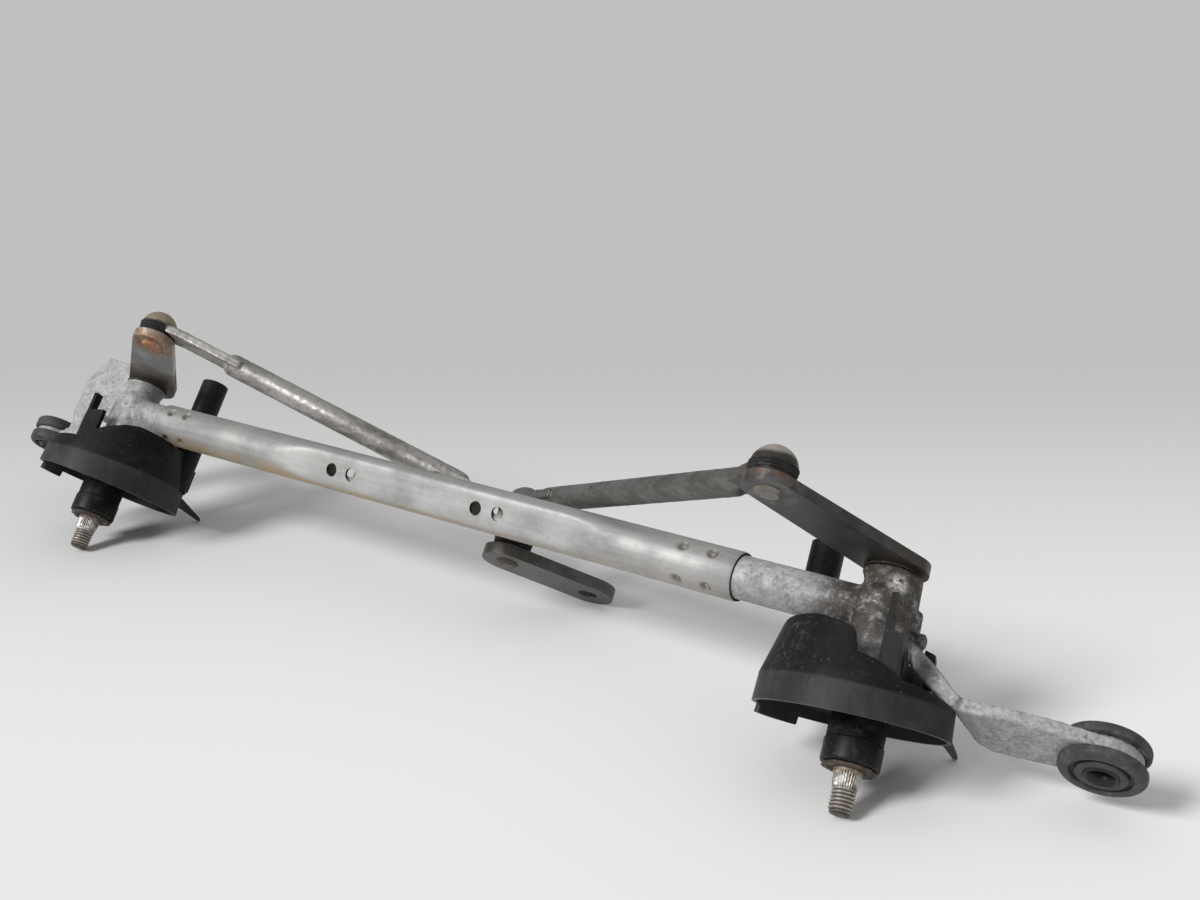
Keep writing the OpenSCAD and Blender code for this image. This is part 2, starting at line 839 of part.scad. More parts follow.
module link_stud() {
    color("Peru") at_plane(joint, inner_right_a) {
        sphere(r = ball_r);
        translate([0, 0, -ball_h - link_foot_t]) cylinder(r = stud_r, h = ball_h);
        translate([0, 0, -ball_h - link_foot_t]) cylinder(r = cup_r - 2, h = link_foot_t);
    }
}

// Motor crank

module motor_crank() {
    color("DimGray") at_plane(joint, crank_level) rotate(crank_ang) difference() {
        link_plate(crank_len, crank_w, crank_t);
        translate([0, 0, -1]) cylinder(r = stud_r, h = crank_t + 2);
        translate([crank_len, 0, -1]) cylinder(d = crank_bore, h = crank_t + 2);
    }
}

module crank_stud() {
    color("Peru") at_plane(joint, inner_left_a) ball_stud(crank_ball_h, crank_t);
}

frame_tube();
left_housing();
right_housing();
left_upper_bush();
left_lower_bush();
right_upper_bush();
right_lower_bush();
left_cap();
right_cap();
left_cover();
right_cover();
left_grommet();
right_grommet();
left_sleeve();
right_sleeve();
left_spindle();
left_lever();
left_lever_stud();
left_washer();
left_ring();
right_spindle();
right_lever();
right_lever_stud();
right_washer();
right_ring();
left_rod();
left_outer_seat();
left_outer_boot();
left_inner_seat();
left_inner_boot();
right_rod();
right_outer_seat();
right_outer_boot();
right_inner_seat();
right_inner_boot();
link_stud();
motor_crank();
crank_stud();
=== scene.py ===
import json
import math

import bmesh
import bpy
from mathutils import Euler, Matrix, Vector, noise


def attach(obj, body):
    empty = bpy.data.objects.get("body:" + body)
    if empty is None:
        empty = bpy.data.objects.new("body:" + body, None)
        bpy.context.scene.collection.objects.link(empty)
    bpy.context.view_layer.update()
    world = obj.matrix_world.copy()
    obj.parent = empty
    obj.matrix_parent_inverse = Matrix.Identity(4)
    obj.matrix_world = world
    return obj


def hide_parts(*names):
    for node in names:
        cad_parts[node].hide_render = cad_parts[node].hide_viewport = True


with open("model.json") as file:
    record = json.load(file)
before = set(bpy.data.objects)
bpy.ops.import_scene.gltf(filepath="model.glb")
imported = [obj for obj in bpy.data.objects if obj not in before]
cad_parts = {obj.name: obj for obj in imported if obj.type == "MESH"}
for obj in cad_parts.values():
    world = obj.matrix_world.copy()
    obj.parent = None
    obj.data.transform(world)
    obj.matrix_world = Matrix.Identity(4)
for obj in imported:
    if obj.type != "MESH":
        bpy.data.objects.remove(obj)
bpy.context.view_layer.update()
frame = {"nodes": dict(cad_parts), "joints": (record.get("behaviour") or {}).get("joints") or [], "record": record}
NODES = frame["nodes"]
JOINTS = {joint["name"]: joint for joint in frame["joints"]}
MOUNTS = {mount["name"]: mount for mount in frame["record"]["mounts"]}
SIDES = ("left", "right")
MM = 0.001

# Camera, light and floor, in the frame of the part
CAMERA_PLACE = Vector((0.4456, -0.51695, 0.3224))
CAMERA_LOOK = Vector((-0.5458, 0.7736, -0.3218))
CAMERA_LENS = 45.0
CAMERA_SENSOR = 36.0
CAMERA_NEAR = 0.01
SUN_LOOK = Vector((0.32, 0.72, -0.62))
SUN_POWER = 2.5
SUN_SPREAD = math.radians(20.0)
ROOM_LIGHT = (0.1, 0.5)
FLOOR_HALF = 30.0
# The floor colours run from light near the viewer to darker far off: painted light across the floor
FLOOR_FADE = (-0.2, 0.5)
FLOOR_NEAR = (0.9, 0.9, 0.9)
FLOOR_FAR = (0.575, 0.572, 0.568)

# Spindles: thread, splined taper, neck and riveted head
SHAFT_R = 6.0 * MM
SHAFT_GAP = 0.2 * MM
THREAD_PITCH = 1.5 * MM
THREAD_DEPTH = 0.8 * MM
THREAD_LENGTH = 10.0 * MM
THREAD_ROWS = 10
THREAD_FADE = 0.8 * MM
LEAD_LENGTH = 1.8 * MM
LEAD_INSET = 0.9 * MM
TIP_R = 0.6 * MM
TIP_INSET = 1.2 * MM
TIP_RISE = 0.7 * MM
TAPER_LENGTH = 6.5 * MM
TAPER_ROWS = 8
TAPER_GAP = 0.3 * MM
SPLINES = 32
SPLINE_DEPTH = 0.45 * MM
POINTS_PER_SPLINE = 5
NECK_INSET = 1.02 * MM
NECK_STEP = 0.01 * MM
HEAD_GAP = 0.02 * MM
HEAD_PROUD = 0.45 * MM
HEAD_ROUND = 0.3 * MM
HEAD_RISE = 0.7 * MM
HEAD_INSET = 0.7 * MM
HEAD_DROP = 0.1 * MM
HEAD_FLAT = 1.0 * MM

# Rings at the cap ends
RING_GAP = 0.02 * MM
RING_BULGE = 0.5 * MM
RING_TOP = 0.2 * MM
CRUMBLE_DEPTH = 0.9 * MM
CRUMBLE_TURN = 4.0
CRUMBLE_RISE = 0.6

# Caps
CAP_CLEAR = 1 * MM
CAP_WALL = 2 * MM
CAP_RING = 9.6 * MM
CAP_NOSE = 20 * MM
CAP_STEP = 0.45 * MM
CAP_STEP_RISE = 0.3 * MM
CAP_CHAMFER = 0.5 * MM
CAP_CHAMFER_RISE = 0.9 * MM
CAP_ROUND = 0.5 * MM

# Pressed tube
TUBE_WALL = 1.3 * MM
TUBE_CHAMFER = 0.3 * MM
TUBE_STEP = 1.6 * MM
TUBE_FINE_STEP = 0.6 * MM
TUBE_LAST_STEP = 1 * MM
TUBE_INNER_STEPS = 60
TUBE_CREASE = math.radians(40.0)
FLAT_HALF = 7.5 * MM
FLAT_ENDS = (-89.0 * MM, 84.0 * MM)
FLAT_RAMP = 18.0 * MM
FLAT_ROLL = math.radians(24.0)
RAMP_SOFT = 3.0 * MM
EDGE_SOFT = 0.55 * MM
LEAST_COSINE = 0.05
EXPONENT_LIMIT = 30.0
HOLE_MIDDLE = -15.0
HOLE_PAIR_REACH = 47.7
HOLE_REACH = 6.7
HOLE_PLACES = [
    (HOLE_MIDDLE + pair * HOLE_PAIR_REACH + side * HOLE_REACH) * MM for pair in (-1, 1) for side in (-1, 1)
]
DRILL_LENGTH = 60 * MM
CRIMP_TURNS = [math.radians(turn) for turn in (66.0, 156.0, 246.0, 336.0)]
CRIMP_LEFT = (9.7 * MM, 21.7 * MM)
CRIMP_RIGHT = (12.0 * MM, 27.0 * MM)
CRIMP_FLOOR = 1.3 * MM
CRIMP_EDGE = 3.3 * MM
CRIMP_DEPTH = 1.3 * MM

# Castings: grid, smoothing and skin, then lightness and dirt, and the rubbed spot, which is also a painted
# highlight, in the spindle frame
CAST_VOXEL = 0.7 * MM
CAST_ROUNDS = 13
CAST_LUMP_SIZE = 6 * MM
LUMP_DEPTH = 0.12 * MM
CAST_LOOK = {"left": (0.4, 0.3), "right": (0.36, 0.95)}
CAST_RUB_AND_HIGHLIGHT = {"left": (2.0, -12.0, -14.0), "right": (6.5, -8.2, 10.5)}

# Covers: place and lean of the crease in each spindle frame, and the dusty spot on the wall
COVER_CREASE = 34.5 * MM
COVER_SHIFT = {"left": 3.6 * MM, "right": -3.6 * MM}
COVER_LEAN = {"left": (5.5, 6.0), "right": (8.0, 2.2)}
COVER_R = 39.4 * MM
COVER_SLOPE = 0.28
COVER_EDGE = 0.3 * MM
COVER_DUST = {"left": (-20.0, -30.0, -36.0), "right": (-22.0, -26.0, -20.0)}

# Brims of the covers: top line as (x, z) in millimetres in the spindle frame, and arc in degrees
BRIM_TOPS = {
    "left": ((-60, -33), (4, -32), (12, -28.5), (20, -23), (28, -18.5), (33, -16.6), (60, -16.6)),
    "right": (
        (-60, -12.4), (-14, -14.0), (-3, -16.4), (2.2, -18.0), (4.2, -20.0), (5.4, -25.0), (60, -30),
    ),
}
BRIM_ARCS = {"left": (-80, 62), "right": (205, 285)}
BRIM_STEPS = 60
BRIM_INSET = 0.15 * MM
BRIM_WALL = 1.7 * MM
BRIM_FOOT = 2 * MM
BRIM_LEAST = 1 * MM
BRIM_GUESS = 10 * MM
BRIM_ROUNDS = 6

# Clip and web of the right cover: outline as (x, z) and depth as y, in millimetres in the spindle frame
CLIP_FOOT = -34.3
CLIP_OUTLINE = ((15.2, CLIP_FOOT), (20.2, CLIP_FOOT), (20.2, -12.0), (19.6, -8.7), (15.2, -7.2))
CLIP_DEPTH = (16.2, 19.4)
WEB_OUTLINE = ((13.4, CLIP_FOOT), (22.1, CLIP_FOOT), (22.1, -25.4), (15.0, -19.5), (13.4, -14.0))
WEB_DEPTH = (-1.5, 1.0)
CLIP_EDGE = 0.5 * MM

# Grommets: radius in the housing eye and half width of the groove, then the shares of the radius
GROMMET_EYE = {"left": (11.7 * MM, 1.1 * MM), "right": (14.7 * MM, 3.0 * MM)}
GROMMET_COLLAR = 0.6
GROMMET_RECESS = 0.72
GROMMET_GROOVE = 0.67
GROMMET_GAP = 0.05 * MM
GROMMET_DISH = 0.3 * MM
COLLAR_WIDTH = 2.4 * MM
RECESS_DEPTH = 2.2 * MM
SHOULDER_INSET = 1.2 * MM
SHOULDER_DROP = 0.4 * MM
SHOULDER_RISE = 1.8 * MM
LIP_RISE = 0.6 * MM
LIP_INSET = 0.8 * MM
EYE_PLATE_HALF = 3.0 * MM
GROMMET_ROUND = 1.0 * MM
SLEEVE_R = 6.5 * MM
SLEEVE_LIP = 0.4 * MM
SLEEVE_FLARE = 5.0 * MM

# Rods: grid and skin, then lightness, the painted light on top of the dome and how low it reaches
ROD_VOXEL = 0.55 * MM
ROD_ROUNDS = 5
ROD_LUMP_SIZE = 3 * MM
ROD_LOOK = {"left": (0.36, (0.33, 0.27, 0.2), 0.5 * MM), "right": (0.16, (0.44, 0.41, 0.36), 3.2 * MM)}

# Boots, sized from the socket cup
CUP_R = 10.0 * MM
BOOT_PIVOTS = {
    "left_outer": "left_outer", "right_outer": "right_outer", "left_inner": "crank", "right_inner": "crank",
}
BOOT_BORE_R = CUP_R - 3.9 * MM
BOOT_FOOT_R = CUP_R - 1.5 * MM
BOOT_FOLD_R = CUP_R - 1.3 * MM
BOOT_LIP_R = CUP_R - 0.5 * MM
BOOT_FLARE = 0.9 * MM
FOLD_HEIGHT = 1.45 * MM
FOLD_DEPTH = 0.7 * MM
FOLD_ROWS = 8
BOOT_LIP = 1.3 * MM

# Rounded edges of the plates, studs and washers
PLATE_EDGE = 0.8 * MM
PLATE_EDGE_STEPS = 3
LEVER_STUD_EDGE = 0.35 * MM
CRANK_STUD_EDGE = 0.3 * MM
WASHER_EDGE = 0.15 * MM
WELD_GAP = 0.005 * MM
FLAT_ANGLE = math.radians(1.0)
AROUND = 96

# Colours of zinc and cast aluminium; CAST_DULL, CAST_PLAIN and CAST_BRIGHT are multiplied by a lightness
ZINC_DULL = (0.28, 0.28, 0.273)
ZINC_PALE = (0.41, 0.41, 0.4)
ZINC_BRIGHT = (0.52, 0.52, 0.51)
ZINC_SPECK = (0.2, 0.19, 0.175)
# Tan of the underside: partly a stain, partly painted reflection
TAN_STAIN_AND_REFLECTION = (0.4, 0.29, 0.17)
DENT_STAIN = (0.14, 0.105, 0.065)
# Near black of the right end face: partly grime, partly painted shade of the gap to the spigot
END_GRIME_AND_SHADE = (0.012, 0.011, 0.01)
# Near white inside the tube: painted light, so the view through the holes looks lit
TUBE_INSIDE_PAINTED_LIGHT = (0.85, 0.83, 0.8)
CAST_DULL = (0.58, 0.58, 0.58)
CAST_PLAIN = (1.0, 1.0, 1.005)
CAST_BRIGHT = (1.45, 1.45, 1.46)
# Light grey on faces that point up: painted light
CAST_PAINTED_TOP_LIGHT = (0.6, 0.6, 0.6)
CAST_PIT = (0.11, 0.1, 0.088)
GRIME = (0.042, 0.032, 0.023)
GREASE = (0.075, 0.055, 0.038)
# Near white of the rubbed spot: partly rubbed metal, partly a painted highlight
RUBBED_AND_HIGHLIGHT = (0.74, 0.72, 0.69)

# Colours of plastic and rubber; PLASTIC_PLAIN, RUBBER_PLAIN and RUBBER_BLOOM are multiplied by a shade
PLASTIC_PLAIN = (1.0, 1.0, 1.03)
DUST_AND_SHEEN_FILM = (0.12, 0.115, 0.108)
DUST_SPECK = (0.3, 0.29, 0.27)
SCUFF = (0.16, 0.16, 0.16)
WALL_BLACK = (0.006, 0.006, 0.0065)
WALL_DUSTY = (0.026, 0.0255, 0.025)
# The band below the crease is painted lighter than the wall: painted light
BAND_BLACK_PAINTED_LIT = (0.028, 0.028, 0.0285)
BAND_DUSTY_PAINTED_LIT = (0.05, 0.05, 0.051)
COVER_POWDER = (0.2, 0.195, 0.185)
COVER_SPECK = (0.26, 0.25, 0.235)
COVER_RIM = (0.16, 0.16, 0.157)
RUBBER_PLAIN = (1.0, 1.0, 1.0)
RUBBER_BLOOM = (2.0, 1.96, 1.88)
RUBBER_DUST = (0.2, 0.175, 0.145)

# Colours of steel; the first two of the plates and the first three of the rods are multiplied by a shade
THREAD_DULL = (0.36, 0.33, 0.29)
THREAD_CREST = (0.56, 0.53, 0.48)
THREAD_GROOVE = (0.09, 0.075, 0.06)
TAPER_DULL = (0.2, 0.17, 0.14)
TAPER_BRIGHT = (0.66, 0.65, 0.62)
SHAFT_RUST = (0.13, 0.085, 0.055)
SHAFT_PALE = (0.3, 0.24, 0.19)
LEVER_DULL = (0.24, 0.24, 0.24)
LEVER_PALE = (0.36, 0.36, 0.355)
LEVER_BRUSHED = (0.5, 0.5, 0.49)
LEVER_TAN = (0.2, 0.15, 0.095)
LEVER_SOIL = (0.055, 0.042, 0.03)
LEVER_SAND = (0.34, 0.28, 0.2)
LEVER_ORANGE = (0.3, 0.1, 0.03)
LEVER_SPARK = (0.62, 0.58, 0.52)
PLATE_DARK = (0.75, 0.74, 0.72)
PLATE_PALE = (1.35, 1.33, 1.3)
PLATE_RUB = (0.24, 0.238, 0.233)
PLATE_SOIL = (0.06, 0.045, 0.03)
PLATE_SPECK = (0.26, 0.24, 0.21)
PLATE_END = (0.26, 0.25, 0.235)
PLATE_RUST = (0.15, 0.06, 0.028)
ROD_DARK = (0.5, 0.475, 0.44)
ROD_PLAIN = (1.0, 0.965, 0.92)
ROD_STREAK = (1.35, 1.32, 1.27)
ROD_FRECKLE = (0.075, 0.06, 0.046)
# Near black of the sides of the dome: painted shade
DOME_PAINTED_SHADE = (0.05, 0.043, 0.036)
DOME_FRECKLE = (0.09, 0.07, 0.05)
ORANGE_RUST = (0.31, 0.1, 0.03)
BROWN_RUST = (0.062, 0.036, 0.022)
WASHER_CRUST = (0.04, 0.03, 0.022)
SLEEVE_RUST = (0.02, 0.015, 0.012)


# Frames and meshes

def axes_at(y, z, place):
    """Matrix of a frame with the given y and z axes at a place."""
    matrix = Matrix((y.cross(z), y, z)).transposed().to_4x4()
    matrix.translation = Vector(place)
    return matrix


def spindle_frame(joint_name):
    """Matrix of a pivot: z along its axis from tip to lever, y behind the tube."""
    joint = JOINTS[joint_name]
    z = Vector(joint["axis"]).normalized()
    y = Vector((0.0, z.z, -z.y)).normalized()
    return axes_at(y, z, joint["pos_m"])


AT = {
    "left": spindle_frame("left_spindle_turn"),
    "right": spindle_frame("right_spindle_turn"),
    "left_outer": spindle_frame("left_rod_swing"),
    "right_outer": spindle_frame("right_rod_swing"),
    "crank": spindle_frame("crank_swing"),
}
AXIS = Vector(JOINTS["left_spindle_turn"]["axis"])
BEHIND = AT["left"].to_3x3().col[1]
ALONG = Vector((1.0, 0.0, 0.0))
UPWARD = Vector((0.0, 0.0, 1.0))
TUBE_AT = Matrix((ALONG, BEHIND, ALONG.cross(BEHIND))).transposed().to_4x4()
TUBE_AT.translation = (AT["left"].translation + AT["right"].translation) / 2


def at_spindle(side, x, y, z):
    """A point given in millimetres in a spindle frame."""
    return AT[side] @ Vector((x * MM, y * MM, z * MM))


def cover_frame(side):
    """Matrix of a cover at the middle of its crease."""
    lean = Euler([math.radians(angle) for angle in (*COVER_LEAN[side], 0.0)]).to_matrix().to_4x4()
    return AT[side] @ Matrix.Translation((COVER_SHIFT[side], 0.0, -COVER_CREASE)) @ lean


def polar(radius, angle, z):
    """A point at an angle round the z axis."""
    return Vector((radius * math.cos(angle), radius * math.sin(angle), z))


def span(node, matrix, axis=2):
    """Lowest and highest place of a CAD node along one axis of a frame."""
    inverse = matrix.inverted()
    places = [(inverse @ v.co)[axis] for v in NODES[node].data.vertices]
    return min(places), max(places)


def half_width(node, matrix, axis=0):
    """Half the width of a CAD node along one axis of a frame, which is the radius of a round one."""
    low, high = span(node, matrix, axis)
    return (high - low) / 2


def put(name, data):
    """A new object in the scene."""
    thing = bpy.data.objects.new(name, data)
    bpy.context.scene.collection.objects.link(thing)
    return thing


def built(name, work):
    """A new object of a mesh under construction, which is freed."""
    mesh = bpy.data.meshes.new(name)
    work.to_mesh(mesh)
    work.free()
    return put(name, mesh)


def tidy_normals(mesh):
    """Turns every face of a closed mesh outward."""
    work = bmesh.new()
    work.from_mesh(mesh)
    bmesh.ops.recalc_face_normals(work, faces=work.faces)
    work.to_mesh(mesh)
    work.free()


def add_mesh(name, verts, faces, body=None):
    """A new smooth piece, which rides on a body where one is named."""
    mesh = bpy.data.meshes.new(name)
    mesh.from_pydata([tuple(v) for v in verts], [], faces)
    mesh.validate()
    piece = put(name, mesh)
    tidy_normals(mesh)
    mesh.shade_smooth()
    if body:
        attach(piece, body)
    return piece


def skin(rings, closed):
    """Vertices and faces of a surface through rings of points; closed joins the last ring to the first."""
    around = len(rings[0])
    count = len(rings)
    verts = [point for ring in rings for point in ring]
    faces = []
    for row in range(count if closed else count - 1):
        here = row * around
        upper = (row + 1) % count * around
        for step in range(around):
            side = (step + 1) % around
            faces.append((here + step, here + side, upper + side, upper + step))
    if not closed:
        faces.append(tuple(range(around)))
        faces.append(tuple((count - 1) * around + step for step in range(around)))
    return verts, faces


def turned(name, rows, matrix, body, around=AROUND, ripple=None, closed=False):
    """A piece of revolution about z. rows are (radius, z); ripple(row, angle) is added to the radius."""
    rings = []
    for index, (radius, z) in enumerate(rows):
        ring = []
        for step in range(around):
            angle = 2 * math.pi * step / around
            r = radius + (ripple(index, angle) if ripple else 0.0)
            ring.append(matrix @ polar(r, angle, z))
        rings.append(ring)
    return add_mesh(name, *skin(rings, closed), body)


def rounded(points, radius, steps=3, most=0.45):
    """A closed outline of (r, z) points with its corners rounded, each by at most a share of its sides."""
    out = []
    count = len(points)
    for index, corner in enumerate(points):
        here = Vector(corner)
        before = Vector(points[index - 1]) - here
        after = Vector(points[(index + 1) % count]) - here
        cut = min(radius, before.length * most, after.length * most)
        start = here + before.normalized() * cut
        end = here + after.normalized() * cut
        for step in range(steps + 1):
            t = step / steps
            out.append(tuple(start.lerp(here, t).lerp(here.lerp(end, t), t)))
    return out


def mirrored(outline, low, high):
    """An outline of (r, z) points followed by its mirror image about the middle of low and high."""
    return outline + [(r, low + high - z) for r, z in reversed(outline)]


def shown_mesh(piece, name):
    """The mesh of a piece with its modifiers applied."""
    mesh = bpy.data.meshes.new_from_object(piece.evaluated_get(bpy.context.evaluated_depsgraph_get()))
    mesh.name = name
    return mesh


def add_rods(work, rods):
    """Adds round rods to a mesh under construction: each has a matrix, a radius and a length."""
    for matrix, radius, length in rods:
        bmesh.ops.create_cone(work, cap_ends=True, segments=48, radius1=radius, radius2=radius,
                              depth=length, matrix=matrix)


def softened(node, body, voxel, rounds, lump_size, stubs=()):
    """A cast or forged copy of a CAD node: blended edges, a slightly uneven skin and small cast stubs."""
    work = bmesh.new()
    work.from_mesh(NODES[node].data)
    add_rods(work, stubs)
    copy = built(node + "_rough", work)
    grid = copy.modifiers.new("Grid", "REMESH")
    grid.mode = "VOXEL"
    grid.voxel_size = voxel
    ease = copy.modifiers.new("Ease", "SMOOTH")
    ease.factor = 0.5
    ease.iterations = rounds
    mesh = shown_mesh(copy, node + "_body")
    bpy.data.objects.remove(copy)
    normals = [v.normal.copy() for v in mesh.vertices]
    for vertex, normal in zip(mesh.vertices, normals):
        vertex.co += normal * LUMP_DEPTH * noise.noise(vertex.co / lump_size)
    mesh.shade_smooth()
    piece = put(node + "_body", mesh)
    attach(piece, body)
    return piece


def round_edges(piece, width, segments=2, angle=32):
    """Rounds the edges of a piece as it is shown, with flat faces that stay flat."""
    join = piece.modifiers.new("Join", "WELD")
    join.merge_threshold = WELD_GAP
    flat = piece.modifiers.new("Flat", "DECIMATE")
    flat.decimate_type = "DISSOLVE"
    flat.angle_limit = FLAT_ANGLE
    edge = piece.modifiers.new("Edge", "BEVEL")
    edge.width = width
    edge.segments = segments
    edge.limit_method = "ANGLE"
    edge.angle_limit = math.radians(angle)
    edge.use_clamp_overlap = True
    shade = piece.modifiers.new("Shade", "WEIGHTED_NORMAL")
    shade.weight = 80
    piece.data.shade_smooth()
    return piece


def paint(piece, material):
    """Gives a piece one material."""
    piece.data.materials.clear()
    piece.data.materials.append(material)


def keep(node, material, width, segments=2):
    """Shows a CAD node with rounded edges and a finish."""
    paint(round_edges(NODES[node], width, segments), material)


def stand_for(piece, node, material):
    """Puts a finished piece in place of a CAD node."""
    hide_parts(node)
    paint(piece, material)


# Materials

def scaled(colour, factor):
    """A colour made lighter or darker."""
    return tuple(c * factor for c in colour)


def set_inputs(node, values):
    """Sets inputs of a shader node by their names."""
    for name, value in values.items():
        node.inputs[name].default_value = value


class Finish:
    """A procedural material. Most methods add nodes and return a socket; colour holds the coats so far."""

    def __init__(self, name):
        self.material = bpy.data.materials.new(name)
        self.material.use_nodes = True
        self.tree = self.material.node_tree
        self.shader = self.tree.nodes["Principled BSDF"]
        self.place = self.add("TexCoord").outputs["Object"]
        self.colour = None

    def add(self, kind):
        return self.tree.nodes.new("ShaderNode" + kind)

    def link(self, value, socket):
        """Joins a socket to another one, or sets it to a plain value."""
        if isinstance(value, bpy.types.NodeSocket):
            self.tree.links.new(value, socket)
        else:
            socket.default_value = value

    def vector(self, operation, first, second=None):
        """A vector sum, product or measure, as a node."""
        node = self.add("VectorMath")
        node.operation = operation
        self.link(first, node.inputs[0])
        if second is not None:
            self.link(second, node.inputs[1])
        return node

    def math(self, operation, first, second):
        node = self.add("Math")
        node.operation = operation
        self.link(first, node.inputs[0])
        self.link(second, node.inputs[1])
        return node.outputs[0]

    def times(self, first, second):
        return self.math("MULTIPLY", first, second)

    def weighted(self, first, first_share, second, second_share):
        """The sum of a share of each of two masks."""
        return self.math("ADD", self.times(first, first_share), self.times(second, second_share))

    def noise(self, scale, detail=4.0, roughness=0.55, stretch=None, warp=0.0):
        place = self.vector("MULTIPLY", self.place, stretch).outputs[0] if stretch else self.place
        node = self.add("TexNoise")
        self.link(place, node.inputs["Vector"])
        set_inputs(node, {"Scale": scale, "Detail": detail, "Roughness": roughness, "Distortion": warp})
        return node.outputs["Fac"]

    def ramp(self, value, low, high, bottom=0.0, top=1.0):
        """bottom where a value is under low, top where it is over high, and a soft change between."""
        node = self.add("MapRange")
        node.interpolation_type = "SMOOTHSTEP"
        self.link(value, node.inputs["Value"])
        set_inputs(node, {"From Min": low, "From Max": high, "To Min": bottom, "To Max": top})
        return node.outputs["Result"]

    def between(self, mask, bottom, top):
        """bottom where a mask is 0, top where it is 1."""
        return self.ramp(mask, 0.0, 1.0, bottom, top)

    def patches(self, scale, low, high, detail=4.0, roughness=0.55, warp=0.0):
        """A mask of patches: 0 where noise is under low, 1 where it is over high."""
        return self.ramp(self.noise(scale, detail, roughness, None, warp), low, high)

    def streaks(self, stretch, low, high, detail=4.0, roughness=0.6):
        """A mask of streaks: patches with a scale of its own along each axis of the part."""
        return self.ramp(self.noise(1.0, detail, roughness, stretch), low, high)

    def mix(self, factor, first, second):
        node = self.add("Mix")
        node.data_type = "RGBA"
        self.link(factor, node.inputs[0])
        for colour, socket in ((first, node.inputs[6]), (second, node.inputs[7])):
            self.link(colour if isinstance(colour, bpy.types.NodeSocket) else (*colour, 1.0), socket)
        return node.outputs[2]

    def ground(self, mask, first, second):
        """Starts with two colours, the second where the mask is."""
        self.colour = self.mix(mask, first, second)

    def cover(self, mask, colour):
        """Lays a colour over the rest where the mask is."""
        self.colour = self.mix(mask, self.colour, colour)

    def coat(self, mask, share, colour):
        """Lays a share of a colour over the rest where the mask is."""
        self.cover(self.times(mask, share), colour)

    def along(self, direction, origin):
        """Distance from origin along a direction of the part."""
        offset = self.vector("SUBTRACT", self.place, origin).outputs[0]
        return self.vector("DOT_PRODUCT", offset, direction).outputs["Value"]

    def off_axis(self, origin):
        """Distance from the line through origin along the spindle axis."""
        offset = self.vector("SUBTRACT", self.place, origin).outputs[0]
        across = self.vector("CROSS_PRODUCT", offset, AXIS).outputs[0]
        return self.vector("LENGTH", across).outputs["Value"]

    def near(self, point, inner, outer):
        """1 within inner of a point, 0 beyond outer."""
        distance = self.vector("DISTANCE", self.place, point).outputs["Value"]
        return self.ramp(distance, inner, outer, 1.0, 0.0)

    def facing(self, direction):
        """How far the surface faces a direction of the part, from -1 to 1."""
        normal = self.add("TexCoord").outputs["Normal"]
        return self.vector("DOT_PRODUCT", normal, direction).outputs["Value"]

    def bump(self, height, strength, distance):
        node = self.add("Bump")
        set_inputs(node, {"Strength": strength, "Distance": distance})
        self.link(height, node.inputs["Height"])
        return node.outputs["Normal"]

    def done(self, roughness, metallic=0.0, bump=None, gloss=0.5):
        """Sets the shader and returns the material."""
        self.link(self.colour, self.shader.inputs["Base Color"])
        self.link(roughness, self.shader.inputs["Roughness"])
        self.link(metallic, self.shader.inputs["Metallic"])
        self.shader.inputs["Specular IOR Level"].default_value = gloss
        if bump:
            self.link(bump, self.shader.inputs["Normal"])
        return self.material


def crimp_places():
    """Places of the crimp dents along the tube."""
    low, high = span("frame_tube", TUBE_AT, 0)
    return [low + step for step in CRIMP_LEFT] + [high - step for step in CRIMP_RIGHT]


def crimp_centres():
    """Centres of all the crimp dents on the skin of the tube."""
    radius = half_width("frame_tube", TUBE_AT, 2)
    turns = [Vector((0.0, radius * math.cos(turn), radius * math.sin(turn))) for turn in CRIMP_TURNS]
    return [TUBE_AT @ (Vector((x, 0.0, 0.0)) + turn) for x in crimp_places() for turn in turns]


def zinc_tube():
    """Dull zinc: drawn streaks, grey blotches, stained dents, a tan underside that is partly stain and partly
    painted reflection, and a right end face painted near black, partly grime and partly painted shade.
    """
    f = Finish("zinc_tube")
    blotch = f.patches(34.0, 0.34, 0.68, 5.0, 0.6)
    streak = f.streaks((14.0, 520.0, 520.0), 0.35, 0.7, 3.0, 0.5)
    f.ground(blotch, ZINC_DULL, ZINC_PALE)
    f.coat(streak, 0.3, ZINC_BRIGHT)
    f.coat(f.patches(420.0, 0.62, 0.74, 3.0, 0.6), 0.4, ZINC_SPECK)
    # Tan on faces turned down, toward the left end: partly stain, partly painted reflection
    low_side = f.ramp(f.facing((0.0, -0.5, -0.86)), 0.35, 0.9)
    left_end = f.ramp(f.along(ALONG, TUBE_AT.translation), -0.1, 0.12, 1.0, 0.25)
    tan = f.times(f.times(low_side, left_end), f.patches(70.0, 0.3, 0.55))
    f.coat(tan, 0.8, TAN_STAIN_AND_REFLECTION)
    # The right end face is painted near black: partly grime, partly painted shade of the gap to the spigot
    f.cover(f.ramp(f.facing(ALONG), 0.6, 0.9), END_GRIME_AND_SHADE)
    stain = 0.0
    for dent in crimp_centres():
        stain = f.math("MAXIMUM", stain, f.near(dent, 1.6 * MM, 3.6 * MM))
    f.coat(f.times(stain, f.patches(300.0, 0.3, 0.52)), 0.8, DENT_STAIN)
    grain = f.weighted(streak, 0.6, f.noise(900.0), 0.4)
    return f.done(f.between(blotch, 0.68, 0.56), 0.6, f.bump(grain, 0.22, 0.06 * MM))


